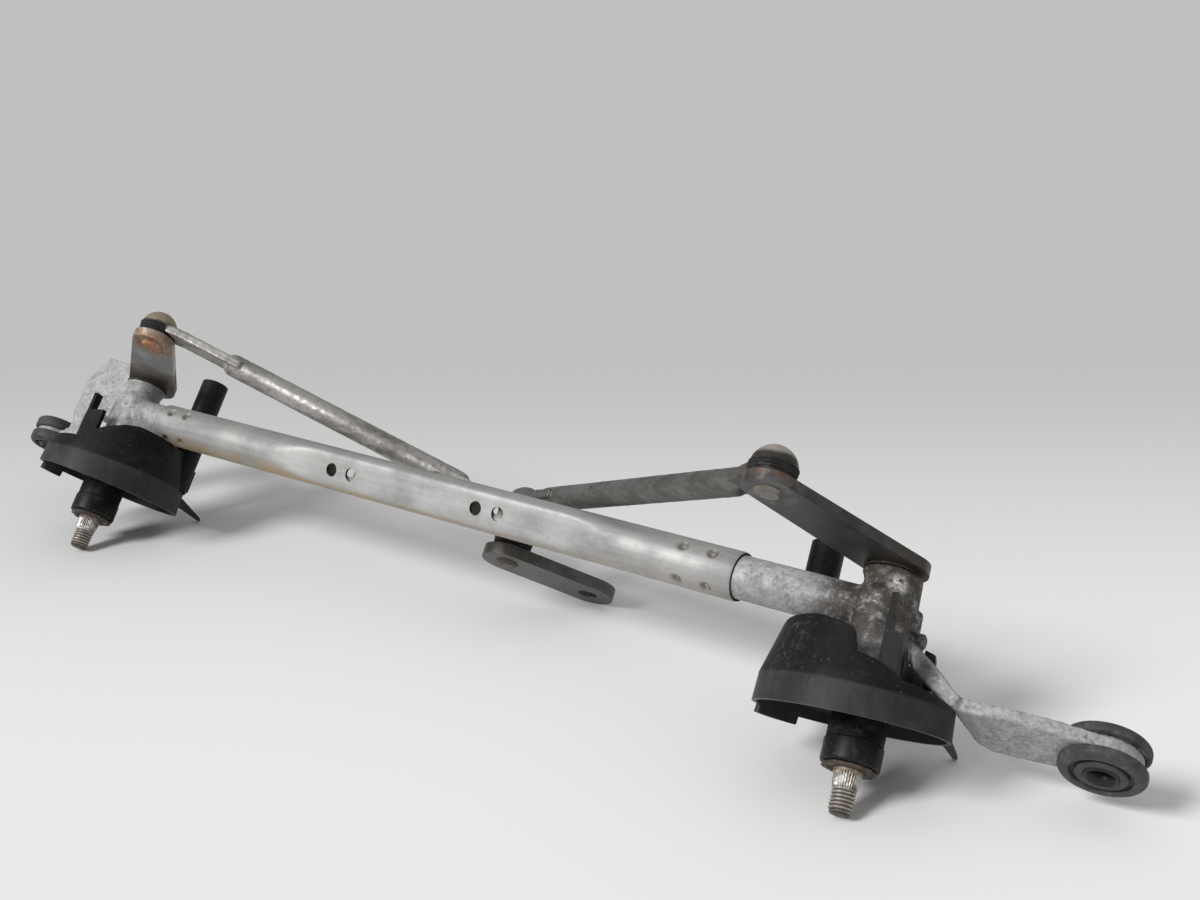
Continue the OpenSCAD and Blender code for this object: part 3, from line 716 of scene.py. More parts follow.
def cast_metal(side, light, dirt):
    """Cast aluminium: sandy grain, upward faces painted brighter as painted light, pits, brown dirt round the
    boss, a rubbed spot that is also a painted highlight.
    """
    f = Finish(side + "_cast")
    cloud = f.patches(130.0, 0.36, 0.64, 8.0, 0.74, 0.3)
    fine = f.patches(620.0, 0.44, 0.62, 5.0, 0.7)
    f.ground(cloud, scaled(CAST_DULL, light), scaled(CAST_PLAIN, light))
    f.coat(fine, 0.38, scaled(CAST_BRIGHT, light))
    # Faces that point up are painted lighter, in speckles: painted light from above
    lit_top = f.times(f.ramp(f.facing(UPWARD), 0.55, 0.9), f.patches(420.0, 0.4, 0.6, 6.0, 0.72))
    f.coat(lit_top, 0.5, CAST_PAINTED_TOP_LIGHT)
    f.coat(f.patches(260.0, 0.56, 0.68, 5.0, 0.7), 0.6, CAST_PIT)
    boss = at_spindle(side, 0.0, 0.0, 4.0)
    spotty = f.patches(230.0, 0.62 - 0.32 * dirt, 0.78 - 0.26 * dirt, 8.0, 0.76)
    f.coat(f.times(f.near(boss, 16 * MM, 40 * MM), spotty), 0.95, GRIME)
    under_lever = at_spindle(side, 0.0, 0.0, 18.0)
    f.coat(f.times(f.near(under_lever, 9 * MM, 19 * MM), spotty), 0.8, GREASE)
    # A bright spot at a set place: partly rubbed metal, partly a painted highlight
    worn = at_spindle(side, *CAST_RUB_AND_HIGHLIGHT[side])
    rub_and_highlight = f.times(f.near(worn, 1.5 * MM, 6 * MM), f.patches(380.0, 0.36, 0.56, 5.0, 0.7))
    f.coat(rub_and_highlight, 0.9, RUBBED_AND_HIGHLIGHT)
    grain = f.weighted(fine, 0.5, f.noise(1100.0, 2.0), 0.5)
    return f.done(f.between(cloud, 0.7, 0.5), 0.25, f.bump(grain, 0.5, 0.12 * MM))


def dusty_black(name, shade, dust, scale=60.0):
    """Moulded black plastic with a thin uneven film of dust, laid thicker on faces toward the viewer and up as
    painted reflection, and fine scuffs.
    """
    f = Finish(name)
    film = f.patches(scale, 0.42, 0.74, 6.0, 0.65, 0.5)
    # The film is laid thicker on faces toward the viewer and up: partly dust, partly painted reflection
    up = f.ramp(f.facing((0.2, -0.55, 0.8)), 0.0, 0.9, 0.25, 1.0)
    scuff = f.streaks((60.0, 60.0, 700.0), 0.62, 0.76, 3.0)
    f.ground(f.times(f.times(film, up), dust), scaled(PLASTIC_PLAIN, shade), DUST_AND_SHEEN_FILM)
    f.coat(f.patches(650.0, 0.62, 0.74, 3.0, 0.6), 0.12 + dust * 0.2, DUST_SPECK)
    f.coat(scuff, 0.14, SCUFF)
    grain = f.weighted(f.noise(1500.0, 2.0), 0.7, scuff, 0.3)
    return f.done(f.between(film, 0.42, 0.68), 0.0, f.bump(grain, 0.3, 0.05 * MM), 0.2)


def cover_plastic(side):
    """Moulded black cover: a band below the crease painted lighter than the dusty wall above it, as painted light,
    a pale worn rim and scuffs.
    """
    f = Finish(side + "_cover_plastic")
    crease = cover_frame(side)
    height = f.along(crease.col[2].to_3d(), crease.translation)
    # Below the crease the colour is painted lighter: painted light and reflection on the band
    band = f.ramp(height, -1.2 * MM, 0.4 * MM, 1.0, 0.0)
    film = f.patches(55.0, 0.4, 0.72, 6.0, 0.66, 0.5)
    fine = f.patches(420.0, 0.48, 0.72, 5.0, 0.66)
    wall = f.mix(f.times(film, 0.5), WALL_BLACK, WALL_DUSTY)
    f.ground(band, wall, f.mix(film, BAND_BLACK_PAINTED_LIT, BAND_DUSTY_PAINTED_LIT))
    dust_place = at_spindle(side, *COVER_DUST[side])
    dusty = f.times(f.near(dust_place, 6 * MM, 26 * MM), f.times(fine, film))
    f.coat(dusty, 0.75, COVER_POWDER)
    scuff = f.streaks((70.0, 70.0, 620.0), 0.63, 0.78, 4.0, 0.62)
    f.coat(scuff, 0.22, SCUFF)
    f.coat(f.patches(700.0, 0.64, 0.75, 3.0, 0.6), 0.3, COVER_SPECK)
    worn = f.times(f.ramp(f.facing(-AXIS), 0.45, 0.8), f.ramp(height, -14 * MM, -7 * MM, 1.0, 0.0))
    f.coat(worn, 0.7, COVER_RIM)
    grain = f.weighted(f.noise(1500.0, 2.0), 0.7, scuff, 0.3)
    return f.done(f.between(film, 0.46, 0.68), 0.0, f.bump(grain, 0.3, 0.05 * MM), 0.16)


def weathered_rubber(name, shade, dust):
    """Dull rubber with a grey bloom and brown dust in patches."""
    f = Finish(name)
    bloom = f.patches(120.0, 0.38, 0.7, 5.0, 0.6)
    f.ground(f.times(bloom, 0.8), scaled(RUBBER_PLAIN, shade), scaled(RUBBER_BLOOM, shade))
    f.coat(f.patches(240.0, 0.52, 0.72, 5.0, 0.65), dust, RUBBER_DUST)
    return f.done(f.between(bloom, 0.5, 0.8), 0.0, f.bump(f.noise(900.0), 0.35, 0.08 * MM), 0.25)


def rusty_steel(name, bare, rust, amount, scale=170.0, metal=0.7):
    """Plated steel under patches of rust; amount from 0 clean to 1 covered."""
    f = Finish(name)
    tone = f.patches(scale * 0.5, 0.35, 0.65, 5.0, 0.6)
    f.ground(tone, scaled(bare, 0.6), bare)
    level = 0.72 - 0.42 * amount
    patch = f.patches(scale, level - 0.1, level + 0.08, 6.0, 0.68, 0.4)
    f.coat(patch, 0.9, rust)
    crust = f.patches(scale * 3.2, 0.56, 0.7, 4.0, 0.6)
    f.coat(f.times(crust, patch), 0.7, scaled(rust, 0.35))
    shine = f.between(patch, metal, 0.05)
    pits = f.times(patch, f.noise(scale * 5.0))
    return f.done(f.between(patch, 0.4, 0.85), shine, f.bump(pits, 0.45, 0.15 * MM))


def spindle_steel(side):
    """Rusty shaft, bright splined taper and a tan worn thread, from cap to tip."""
    f = Finish(side + "_spindle_steel")
    tip = span(side + "_spindle", AT[side])[0]
    start = AT[side] @ Vector((0.0, 0.0, tip))
    height = f.along(AXIS, start)
    patch = f.patches(330.0, 0.4, 0.62, 6.0, 0.68)
    thread_r = MOUNTS[side + "_thread"]["dims"]["r_mm"] * MM
    groove = f.ramp(f.off_axis(start), thread_r - THREAD_DEPTH, thread_r - 0.2 * MM)
    thread = f.mix(groove, THREAD_GROOVE, f.mix(patch, THREAD_DULL, THREAD_CREST))
    taper = f.mix(f.patches(260.0, 0.4, 0.66, 5.0), TAPER_DULL, TAPER_BRIGHT)
    shaft = f.mix(patch, SHAFT_RUST, SHAFT_PALE)
    taper_end = THREAD_LENGTH + TAPER_LENGTH
    f.ground(f.ramp(height, THREAD_LENGTH - 1 * MM, THREAD_LENGTH + 0.5 * MM), thread, taper)
    f.cover(f.ramp(height, taper_end - 1 * MM, taper_end), shaft)
    f.coat(f.patches(210.0, 0.58, 0.68, 6.0, 0.7), 0.75, SHAFT_RUST)
    return f.done(f.between(patch, 0.6, 0.36), 0.72, f.bump(f.noise(1200.0), 0.4, 0.06 * MM))


def bare_lever():
    """Rolled grey plate, dark brown toward the hub and orange with rust round the stud."""
    f = Finish("lever_bare")
    hub = at_spindle("left", 0.0, 0.0, 21.0)
    stud = AT["left_outer"] @ Vector((0.0, 0.0, -9 * MM))
    outward = (stud - hub).normalized()
    tone = f.patches(60.0, 0.35, 0.66, 5.0, 0.6)
    f.ground(tone, LEVER_DULL, LEVER_PALE)
    f.coat(f.streaks((420.0, 60.0, 60.0), 0.4, 0.7), 0.3, LEVER_BRUSHED)
    reach = f.math("ADD", f.along(outward, hub), f.times(f.noise(60.0), 14 * MM))
    f.coat(f.ramp(reach, 36 * MM, 43 * MM, 1.0, 0.0), 0.75, LEVER_TAN)
    f.coat(f.ramp(reach, 26 * MM, 37 * MM, 1.0, 0.0), 0.9, LEVER_SOIL)
    sand = f.times(f.near(stud, 12 * MM, 19 * MM), f.patches(160.0, 0.3, 0.5, 5.0, 0.65))
    f.coat(sand, 0.8, LEVER_SAND)
    orange = f.times(f.near(stud, 9 * MM, 14 * MM), f.patches(300.0, 0.44, 0.54, 6.0, 0.68))
    f.coat(orange, 0.85, LEVER_ORANGE)
    spark = f.times(f.near(stud, 12 * MM, 16 * MM), f.patches(420.0, 0.6, 0.66, 4.0, 0.65))
    f.coat(spark, 0.8, LEVER_SPARK)
    return f.done(f.between(tone, 0.55, 0.4), 0.5, f.bump(f.noise(700.0), 0.3, 0.06 * MM))


def dark_plate(name, hub, stud, shade):
    """Dark phosphated plate: rubbed streaks, brown dirt at the hub, a pale end, rust under the boot."""
    f = Finish(name)
    tone = f.patches(75.0, 0.36, 0.68, 6.0, 0.65)
    f.ground(tone, scaled(PLATE_DARK, shade), scaled(PLATE_PALE, shade))
    f.coat(f.streaks((90.0, 260.0, 90.0), 0.6, 0.8), 0.35, PLATE_RUB)
    soil = f.times(f.near(hub, 14 * MM, 32 * MM), f.patches(170.0, 0.42, 0.62, 6.0, 0.68))
    f.coat(soil, 0.75, PLATE_SOIL)
    f.coat(f.patches(520.0, 0.62, 0.73, 4.0, 0.65), 0.4, PLATE_SPECK)
    end = f.times(f.near(stud, 11 * MM, 16 * MM), f.patches(120.0, 0.42, 0.6, 5.0, 0.65))
    f.coat(end, 0.35, PLATE_END)
    rust = f.times(f.near(stud, 11 * MM, 14 * MM), f.patches(420.0, 0.48, 0.58, 6.0, 0.68))
    rust = f.times(rust, f.ramp(f.along(AXIS, stud), -3.5 * MM, -1.0 * MM))
    f.coat(rust, 0.7, PLATE_RUST)
    return f.done(f.between(tone, 0.38, 0.55), 0.5, f.bump(f.noise(800.0), 0.3, 0.06 * MM))


def rod_steel(side, light, dome_lit_top, lit_low):
    """Weathered tube with dark freckles and long streaks, and a dome over the outer socket painted light on top
    and near black below, as painted light and shade.
    """
    f = Finish(side + "_rod_steel")
    tone = f.streaks((22.0, 90.0, 90.0), 0.34, 0.66, 6.0, 0.66)
    f.ground(tone, scaled(ROD_DARK, light), scaled(ROD_PLAIN, light))
    f.coat(f.streaks((24.0, 420.0, 420.0), 0.42, 0.72), 0.4, scaled(ROD_STREAK, light))
    freckle = f.patches(360.0, 0.54, 0.67, 5.0, 0.68)
    f.coat(freckle, 0.6, ROD_FRECKLE)
    ball = AT[side + "_outer"].translation
    # The dome is painted light on top and near black below: painted light and painted shade
    height = f.math("ADD", f.along(AXIS, ball), f.times(f.noise(110.0), 3 * MM))
    dome = f.mix(f.ramp(height, lit_low, lit_low + 3 * MM), DOME_PAINTED_SHADE, dome_lit_top)
    dome = f.mix(f.times(freckle, 0.35), dome, DOME_FRECKLE)
    f.cover(f.near(ball, 10.6 * MM, 11.6 * MM), dome)
    return f.done(f.between(tone, 0.56, 0.4), 0.55, f.bump(f.noise(620.0, 5.0), 0.4, 0.08 * MM))


def plain_inner(name, colour, scale):
    """Inner surface that hardly shows, with a fine grain: sintered, moulded, and inside the tube painted near
    white as painted light.
    """
    f = Finish(name)
    grain = f.patches(scale, 0.35, 0.65)
    f.ground(grain, scaled(colour, 0.75), colour)
    return f.done(f.between(grain, 0.6, 0.45), 0.0, f.bump(f.noise(scale * 4.0), 0.2, 0.05 * MM))


BLACK_CAP = dusty_black("black_cap", 0.007, 0.3, 90.0)
CLIP_BLACK = dusty_black("clip_black", 0.007, 0.4)
GROMMET_RUBBER = weathered_rubber("grommet_rubber", 0.042, 0.35)
BOOT_RUBBER = weathered_rubber("boot_rubber", 0.016, 0.25)
BRONZE = plain_inner("bush_bronze", (0.5, 0.36, 0.18), 300.0)
NYLON = plain_inner("seat_nylon", (0.66, 0.64, 0.58), 150.0)
STUD_LEFT = rusty_steel("stud_left", (0.62, 0.56, 0.48), ORANGE_RUST, 0.6, 420.0)
STUD_RIGHT = rusty_steel("stud_right", (0.24, 0.225, 0.195), BROWN_RUST, 0.25, 260.0)
STUD_DARK = rusty_steel("stud_dark", (0.1, 0.095, 0.088), BROWN_RUST, 0.3, 260.0)
WASHER_RUST = rusty_steel("washer_rust", (0.17, 0.145, 0.115), WASHER_CRUST, 0.6, 420.0)
# The sleeves are painted near black: painted shade inside the bores of the grommets
SLEEVE_PAINTED_SHADE = rusty_steel("sleeve_steel", (0.014, 0.0135, 0.013), SLEEVE_RUST, 0.15, 170.0, 0.2)


# Frame pieces

def soft_over(value, width):
    """0 well under zero and value well over it, with a bend of a width between."""
    return width * math.log1p(math.exp(min(value / width, EXPONENT_LIMIT)))


def pressed_r(x, angle, radius, flat):
    """Radius of the pressed section, with a soft edge between its flat and round stretches."""
    out = max(FLAT_ENDS[0] - x, x - FLAT_ENDS[1])
    half = flat + (radius - flat) / FLAT_RAMP * soft_over(out, RAMP_SOFT)
    face = half / max(abs(math.cos(angle)), LEAST_COSINE)
    return min(radius, face) - soft_over(-abs(radius - face), EDGE_SOFT)


def crimp(x, turn, radius, places):
    """Depth of the crimp dents at one point of the tube."""
    depth = 0.0
    for place in places:
        if abs(x - place) > CRIMP_EDGE:
            continue
        for centre in CRIMP_TURNS:
            swing = (turn - centre + math.pi) % (2 * math.pi) - math.pi
            reach = math.hypot(x - place, radius * swing)
            t = min(max((reach - CRIMP_FLOOR) / (CRIMP_EDGE - CRIMP_FLOOR), 0.0), 1.0)
            depth += CRIMP_DEPTH * (1.0 - t * t * (3.0 - 2.0 * t))
    return depth


def tube_ring(x, radius, flat, dents, around=120):
    """One ring of points round the tube."""
    ring = []
    for step in range(around):
        angle = 2 * math.pi * step / around
        turn = angle + FLAT_ROLL
        r = pressed_r(x, angle, radius, flat) - crimp(x, turn, radius, dents)
        ring.append(TUBE_AT @ Vector((x, r * math.cos(turn), r * math.sin(turn))))
    return ring


def tube_stations(low, high):
    """Places of the rings along the tube, closer together at its ends, where the dents are."""
    dense = max(CRIMP_RIGHT) + CRIMP_EDGE
    stations = [low]
    while stations[-1] < high - TUBE_LAST_STEP:
        x = stations[-1]
        stations.append(x + (TUBE_FINE_STEP if min(x - low, high - x) < dense else TUBE_STEP))
    return stations


def drill_holes(piece):
    """Cuts the four motor holes through both walls of the tube."""
    across = Matrix.Rotation(FLAT_ROLL, 4, "X") @ Matrix.Rotation(math.pi / 2, 4, "X")
    hole_r = MOUNTS["motor_hole_1"]["dims"]["r_mm"] * MM
    places = [TUBE_AT @ Matrix.Translation((x, 0.0, 0.0)) @ across for x in HOLE_PLACES]
    work = bmesh.new()
    add_rods(work, [(place, hole_r, DRILL_LENGTH) for place in places])
    drill = built("drill", work)
    holes = piece.modifiers.new("Holes", "BOOLEAN")
    holes.operation = "DIFFERENCE"
    holes.solver = "EXACT"
    holes.object = drill
    mesh = shown_mesh(piece, piece.name)
    piece.modifiers.clear()
    piece.data = mesh
    bpy.data.objects.remove(drill)


def make_tube():
    """Pressed tube: round ends with crimp dents, soft ramps, a flat middle and four punched holes."""
    low, high = span("frame_tube", TUBE_AT, 0)
    radius = half_width("frame_tube", TUBE_AT, 2)
    dents = crimp_places()
    rings = [tube_ring(low, radius - TUBE_CHAMFER, FLAT_HALF, ())]
    rings += [tube_ring(x, radius, FLAT_HALF, dents) for x in tube_stations(low, high)[1:-1]]
    rings.append(tube_ring(high, radius - TUBE_CHAMFER, FLAT_HALF, ()))
    outside = len(rings) * len(rings[0])
    for step in range(TUBE_INNER_STEPS + 1):
        x = high + (low - high) * step / TUBE_INNER_STEPS
        rings.append(tube_ring(x, radius - TUBE_WALL, FLAT_HALF - TUBE_WALL, ()))
    piece = add_mesh("frame_tube_body", *skin(rings, True))
    paint(piece, zinc_tube())
    # The inside of the tube is painted near white: painted light behind the holes
    piece.data.materials.append(plain_inner("tube_inside_painted_light", TUBE_INSIDE_PAINTED_LIGHT, 60.0))
    for face in piece.data.polygons:
        face.material_index = int(min(face.vertices) >= outside)
    drill_holes(piece)
    piece.data.shade_smooth()
    piece.data.set_sharp_from_angle(angle=TUBE_CREASE)
    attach(piece, "frame")
    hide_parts("frame_tube")


def stub(side, place, radius, length, lying=False):
    """A round stub on a casting, in millimetres: upright, or lying along the tube."""
    turn = Matrix.Rotation(math.pi / 2, 4, "Y") if lying else Matrix()
    return AT[side] @ Matrix.Translation([value * MM for value in place]) @ turn, radius * MM, length * MM


def make_housings():
    """Castings, the right one with a web and a lug beside the boss and a nub at the root of its arm."""
    web = stub("right", (3.1, 1.5, 6.5), 10.4, 22.0)
    lug = stub("right", (10.0, 4.0, -0.8), 5.6, 9.5)
    nub = stub("right", (11.5, 13.5, -4.9), 3.3, 8.5, True)
    stubs = {"left": (), "right": (web, lug, nub)}
    for side in SIDES:
        node = side + "_housing"
        piece = softened(node, "frame", CAST_VOXEL, CAST_ROUNDS, CAST_LUMP_SIZE, stubs[side])
        stand_for(piece, node, cast_metal(side, *CAST_LOOK[side]))
        for place in ("upper", "lower"):
            paint(NODES[f"{side}_{place}_bush"], BRONZE)


def make_caps():
    """Caps with a thicker ring at the open end."""
    for side in SIDES:
        node = side + "_cap"
        low, high = span(node, AT[side])
        radius = half_width(node, AT[side])
        step = low + CAP_RING
        nose = low + CAP_NOSE
        bore = SHAFT_R + CAP_CLEAR
        wall_r = radius - CAP_STEP
        inner_r = radius - CAP_WALL
        outline = [
            (bore, low), (radius - CAP_CHAMFER, low), (radius, low + CAP_CHAMFER_RISE),
            (radius, step - CAP_STEP_RISE), (wall_r, step), (wall_r, high), (inner_r, high),
            (inner_r, nose), (bore, nose),
        ]
        piece = turned(node + "_body", rounded(outline, CAP_ROUND), AT[side], "frame", closed=True)
        stand_for(piece, node, BLACK_CAP)


def brim_height(side, angle, top):
    """Height in the cover frame at which the wall meets a top line of the spindle frame."""
    inverse = AT[side].inverted()
    height = BRIM_GUESS
    for _ in range(BRIM_ROUNDS):
        here = inverse @ (cover_frame(side) @ polar(COVER_R - COVER_SLOPE * height, angle, height))
        x = here.x / MM
        for (x0, z0), (x1, z1) in zip(top, top[1:]):
            if x0 <= x <= x1:
                height += (z0 + (z1 - z0) * (x - x0) / (x1 - x0)) * MM - here.z
    return height


def brim_rings(side):
    """Sections of a cover's brim along its arc, each with four corners."""
    start, end = BRIM_ARCS[side]
    outer = BRIM_INSET
    inner = BRIM_INSET + BRIM_WALL
    rings = []
    for step in range(BRIM_STEPS + 1):
        angle = math.radians(start + (end - start) * step / BRIM_STEPS)
        high = brim_height(side, angle, BRIM_TOPS[side])
        low = min(BRIM_FOOT, high - BRIM_LEAST)
        corners = ((outer, low), (outer, high), (inner, high), (inner, low))
        rings.append([
            cover_frame(side) @ polar(COVER_R - COVER_SLOPE * height - depth, angle, height)
            for depth, height in corners
        ])
    return rings


def make_covers():
    """Covers, each with an upper lip of the wall that closes the gap to the tube."""
    for side in SIDES:
        finish = cover_plastic(side)
        keep(side + "_cover", finish, COVER_EDGE)
        brim = add_mesh(side + "_cover_brim", *skin(brim_rings(side), False), "frame")
        round_edges(brim, COVER_EDGE)
        paint(brim, finish)


def upright(name, outline, depth):
    """An upright plate on the right cover: an outline of (x, z) points between two depths."""
    verts = [at_spindle("right", x, y, z) for y in depth for x, z in outline]
    count = len(outline)
    faces = [tuple(range(count)), tuple(range(count, 2 * count))]
    faces += [(i, (i + 1) % count, count + (i + 1) % count, count + i) for i in range(count)]
    piece = round_edges(add_mesh(name, verts, faces, "frame"), CLIP_EDGE)
    paint(piece, CLIP_BLACK)


def make_clips():
    """Upright clip and web on the right cover, behind and before the root of the arm."""
    upright("right_cover_clip", CLIP_OUTLINE, CLIP_DEPTH)
    upright("right_cover_web", WEB_OUTLINE, WEB_DEPTH)


def grommet_outline(low, high, radius, eye_r, groove_half):
    """Half section of a grommet: two fat rings, a stepped recess in each face and a groove for the eye."""
    middle = (low + high) / 2
    collar = radius * GROMMET_COLLAR
    recess = radius * GROMMET_RECESS
    floor = low + RECESS_DEPTH
    groove = middle - groove_half
    plate = middle - EYE_PLATE_HALF
    lower = [
        (SLEEVE_R + GROMMET_GAP, low + GROMMET_DISH), (collar - COLLAR_WIDTH, low), (collar, low),
        (collar, floor), (recess, floor), (recess, low), (radius - SHOULDER_INSET, low + SHOULDER_DROP),
        (radius, low + SHOULDER_RISE), (radius, groove - LIP_RISE), (radius - LIP_INSET, groove),
        (eye_r, groove), (eye_r, plate), (radius * GROMMET_GROOVE, plate),
    ]
    return mirrored(lower, low, high)


def mount_frame(mount):
    """Matrix of a bore: z against its axis, y as far behind the tube as it can be."""
    z = -Vector(mount["axis"]).normalized()
    y = (BEHIND - z * BEHIND.dot(z)).normalized()
    return axes_at(y, z, mount["pos_m"])


def make_grommets():
    """Grommets in the housing eyes, each with a flared sleeve in its bore."""
    for side, (eye_r, groove_half) in GROMMET_EYE.items():
        mount = MOUNTS[side + "_mount_bore"]
        matrix = mount_frame(mount)
        node = side + "_grommet"
        low, high = span(node, matrix)
        outline = grommet_outline(low, high, half_width(node, matrix), eye_r, groove_half)
        piece = turned(node + "_body", rounded(outline, GROMMET_ROUND), matrix, "frame", closed=True)
        stand_for(piece, node, GROMMET_RUBBER)
        node = side + "_sleeve"
        low, high = span(node, matrix)
        bore = mount["dims"]["r_mm"] * MM
        mouth = [(SLEEVE_R, low), (SLEEVE_R - SLEEVE_LIP, low), (bore, low + SLEEVE_FLARE)]
        piece = turned(node + "_body", mirrored(mouth, low, high), matrix, "frame", closed=True)
        # The sleeve stands dark in the bore as painted shade
        stand_for(piece, node, SLEEVE_PAINTED_SHADE)


# Moving pieces

def spindle_rows(side, tip, thread_r):
    """Rows of a spindle from its tip to its riveted head: radius, height and kind of surface."""
    top = span(side + "_spindle", AT[side])[1]
    lever_low, lever_top = span(side + "_lever", AT[side])
    rows = [(TIP_R, tip, "plain"), (thread_r - TIP_INSET, tip, "plain")]
    count = int(THREAD_LENGTH / THREAD_PITCH * THREAD_ROWS)
    for index in range(count + 1):
        z = tip + TIP_RISE + (THREAD_LENGTH - TIP_RISE) * index / count
        lead = min(1.0, (z - tip) / LEAD_LENGTH)
        rows.append((thread_r - LEAD_INSET * (1.0 - lead), z, "thread"))
    for index in range(TAPER_ROWS + 1):
        t = index / TAPER_ROWS
        z = tip + THREAD_LENGTH + TAPER_GAP + (TAPER_LENGTH - TAPER_GAP) * t
        rows.append((thread_r + (SHAFT_R - thread_r) * t, z, "spline"))
    neck_r = SHAFT_R - NECK_INSET
    seat = lever_top + HEAD_GAP
    plain = [
        (SHAFT_R, tip + THREAD_LENGTH + TAPER_LENGTH + SHAFT_GAP), (SHAFT_R, lever_low - NECK_STEP),
        (neck_r, lever_low), (neck_r, seat), (SHAFT_R + HEAD_PROUD, seat),
        (SHAFT_R + HEAD_ROUND, lever_top + HEAD_RISE), (SHAFT_R - HEAD_INSET, top - HEAD_DROP),
        (HEAD_FLAT, top),
    ]
    return rows + [(radius, z, "plain") for radius, z in plain]


def make_spindles():
    """Riveted head, plain shaft, splined taper and a cut thread with a chamfered tip."""
    for side in SIDES:
        node = side + "_spindle"
        tip = span(node, AT[side])[0]
        rows = spindle_rows(side, tip, MOUNTS[side + "_thread"]["dims"]["r_mm"] * MM)

        def ripple(index, angle):
            _, z, kind = rows[index]
            if kind == "thread":
                turn = (z / THREAD_PITCH - angle / (2 * math.pi)) % 1.0
                fade = min(1.0, (tip + THREAD_LENGTH - z) / THREAD_FADE)
                return -THREAD_DEPTH * abs(2.0 * turn - 1.0) * max(0.0, fade)
            if kind == "spline":
                return -SPLINE_DEPTH * (0.5 + 0.5 * math.cos(SPLINES * angle))
            return 0.0

        outline = [(radius, z) for radius, z, kind in rows]
        around = SPLINES * POINTS_PER_SPLINE
        piece = turned(node + "_body", outline, AT[side], node + "_set", around, ripple)
        stand_for(piece, node, spindle_steel(side))


def make_levers():
    """Levers with their studs and thrust washers."""
    hub = at_spindle("right", 0.0, 0.0, 20.0)
    stud = AT["right_outer"] @ Vector((0.0, 0.0, -6 * MM))
    finishes = {"left": bare_lever(), "right": dark_plate("lever_dark", hub, stud, 0.06)}
    studs = {"left": STUD_LEFT, "right": STUD_RIGHT}
    for side in SIDES:
        keep(side + "_lever", finishes[side], PLATE_EDGE, PLATE_EDGE_STEPS)
        keep(side + "_lever_stud", studs[side], LEVER_STUD_EDGE)
        keep(side + "_washer", WASHER_RUST, WASHER_EDGE)


def make_rings():
    """Rusted rings at the cap ends, with a crumbling edge."""
    for side in SIDES:
        node = side + "_ring"
        low, high = span(node, AT[side])
        radius = half_width(node, AT[side])
        bore = SHAFT_R + RING_GAP
        rows = [
            (bore, low), (radius, low), (radius + RING_BULGE, (low + high) / 2), (radius + RING_TOP, high),
            (bore, high),
        ]

        def crumble(index, angle):
            if rows[index][0] < radius:
                return 0.0
            return CRUMBLE_DEPTH * noise.noise(polar(CRUMBLE_TURN, angle, CRUMBLE_RISE * index))

        piece = turned(node + "_body", rows, AT[side], side + "_spindle_set", AROUND, crumble, True)
        stand_for(piece, node, WASHER_RUST)


def make_rods():
    """Rods with flattened ends and domed sockets, and the seats in them."""
    for side, look in ROD_LOOK.items():
        node = side + "_rod"
        piece = softened(node, node + "_set", ROD_VOXEL, ROD_ROUNDS, ROD_LUMP_SIZE)
        stand_for(piece, node, rod_steel(side, *look))
        for end in ("outer", "inner"):
            paint(NODES[f"{side}_{end}_seat"], NYLON)


def make_boots():
    """Rubber boots: thin folds from the plate up to a lip over the socket rim."""
    for name, pivot in BOOT_PIVOTS.items():
        node = name + "_boot"
        low, high = span(node, AT[pivot])
        tall = high - low + BOOT_LIP
        folds = round(tall / FOLD_HEIGHT)
        steps = folds * FOLD_ROWS
        rows = [(BOOT_BORE_R, low), (BOOT_FOOT_R, low)]
        for index in range(steps + 1):
            t = index / steps
            swell = abs(math.sin(math.pi * folds * t))
            rows.append((BOOT_FOLD_R + BOOT_FLARE * t + FOLD_DEPTH * swell, low + tall * t))
        rows += [(BOOT_LIP_R, high + BOOT_LIP), (BOOT_LIP_R, high), (BOOT_BORE_R, high)]
        body = name.split("_")[0] + "_rod_set"
        piece = turned(node + "_body", rows, AT[pivot], body, around=72, closed=True)
        stand_for(piece, node, BOOT_RUBBER)


def make_crank():
    """Motor crank and the two studs stacked on its joint."""
    joint = AT["crank"].translation
    keep("motor_crank", dark_plate("crank_dark", joint, joint, 0.1), PLATE_EDGE, PLATE_EDGE_STEPS)
    for name in ("crank_stud", "link_stud"):
        keep(name, STUD_DARK, CRANK_STUD_EDGE)


# Stage

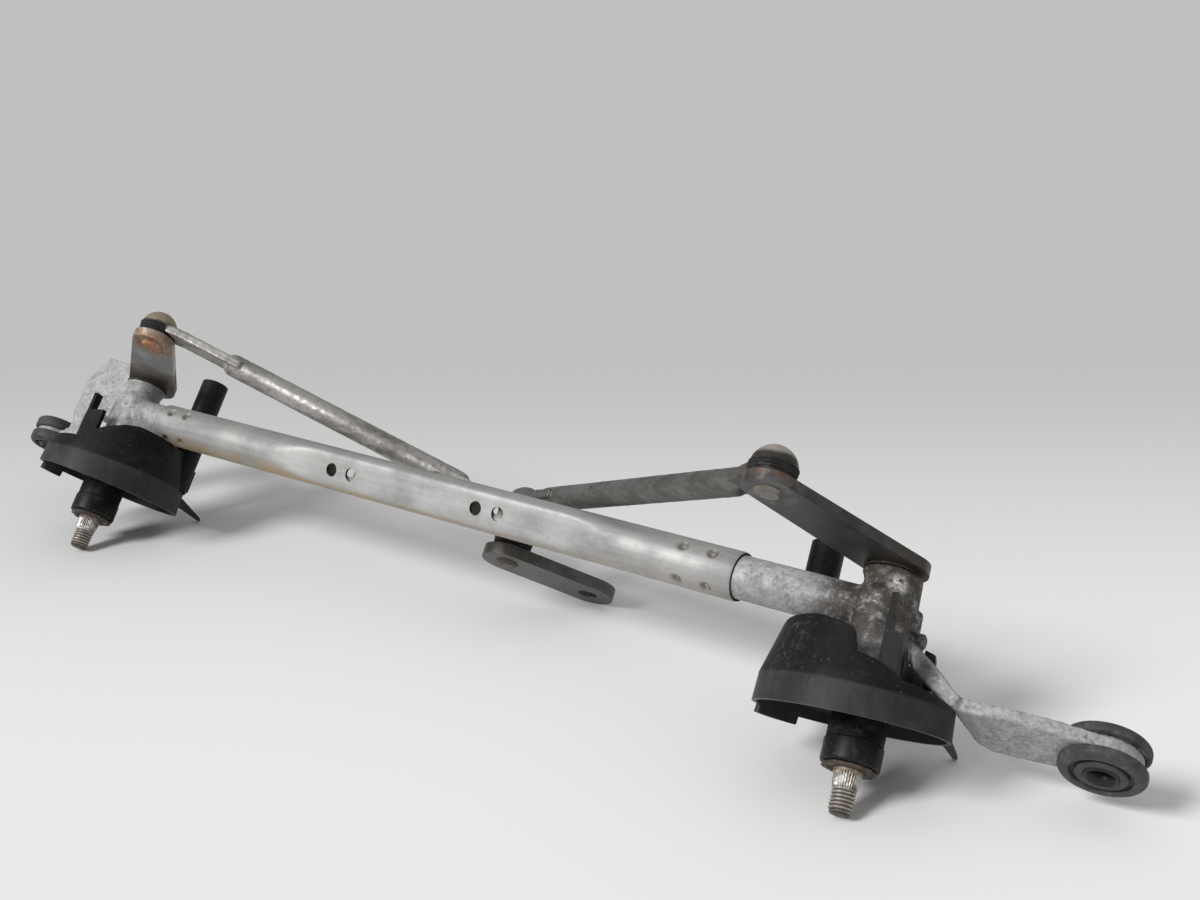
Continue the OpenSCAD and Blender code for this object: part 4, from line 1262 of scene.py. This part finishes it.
def make_floor():
    """A pale floor, painted lighter toward the viewer as painted light."""
    corners = [(x * FLOOR_HALF, y * FLOOR_HALF, 0.0) for x, y in ((-1, -1), (1, -1), (1, 1), (-1, 1))]
    mesh = bpy.data.meshes.new("floor")
    mesh.from_pydata(corners, [], [(0, 1, 2, 3)])
    floor = put("floor", mesh)
    f = Finish("floor_pale")
    ahead = Vector((CAMERA_LOOK.x, CAMERA_LOOK.y, 0.0)).normalized()
    # Painted light: the floor is painted lighter toward the viewer and darker away from it
    fade = f.ramp(f.along(ahead, (0.0, 0.0, 0.0)), *FLOOR_FADE)
    f.ground(fade, FLOOR_NEAR, FLOOR_FAR)
    paint(floor, f.done(0.9, gloss=0.0))


def make_light():
    """A wide soft key from the left of the viewer, and a room that is brighter overhead."""
    sun = bpy.data.lights.new("key", "SUN")
    sun.energy = SUN_POWER
    sun.angle = SUN_SPREAD
    lamp = put("key", sun)
    lamp.rotation_euler = SUN_LOOK.to_track_quat("-Z", "Y").to_euler()
    world = bpy.data.worlds.new("soft_room")
    world.use_nodes = True
    nodes = world.node_tree.nodes
    links = world.node_tree.links
    split = nodes.new("ShaderNodeSeparateXYZ")
    links.new(nodes.new("ShaderNodeTexCoord").outputs["Generated"], split.inputs[0])
    rise = nodes.new("ShaderNodeMapRange")
    links.new(split.outputs["Z"], rise.inputs["Value"])
    low, high = ROOM_LIGHT
    set_inputs(rise, {"From Min": -1.0, "From Max": 1.0, "To Min": low, "To Max": high})
    links.new(rise.outputs["Result"], nodes["Background"].inputs["Strength"])
    nodes["Background"].inputs["Color"].default_value = (1.0, 1.0, 1.0, 1.0)
    bpy.context.scene.world = world


def make_camera():
    """The camera at the viewing angle of the reference."""
    data = bpy.data.cameras.new("camera")
    data.lens = CAMERA_LENS
    data.sensor_width = CAMERA_SENSOR
    data.sensor_fit = "HORIZONTAL"
    data.clip_start = CAMERA_NEAR
    camera = put("camera", data)
    camera.location = CAMERA_PLACE
    camera.rotation_euler = CAMERA_LOOK.to_track_quat("-Z", "Y").to_euler()
    bpy.context.scene.camera = camera


make_camera()
make_tube()
make_housings()
make_caps()
make_covers()
make_clips()
make_grommets()
make_spindles()
make_levers()
make_rings()
make_rods()
make_boots()
make_crank()
make_floor()
make_light()
bpy.context.scene.view_settings.view_transform = "Standard"
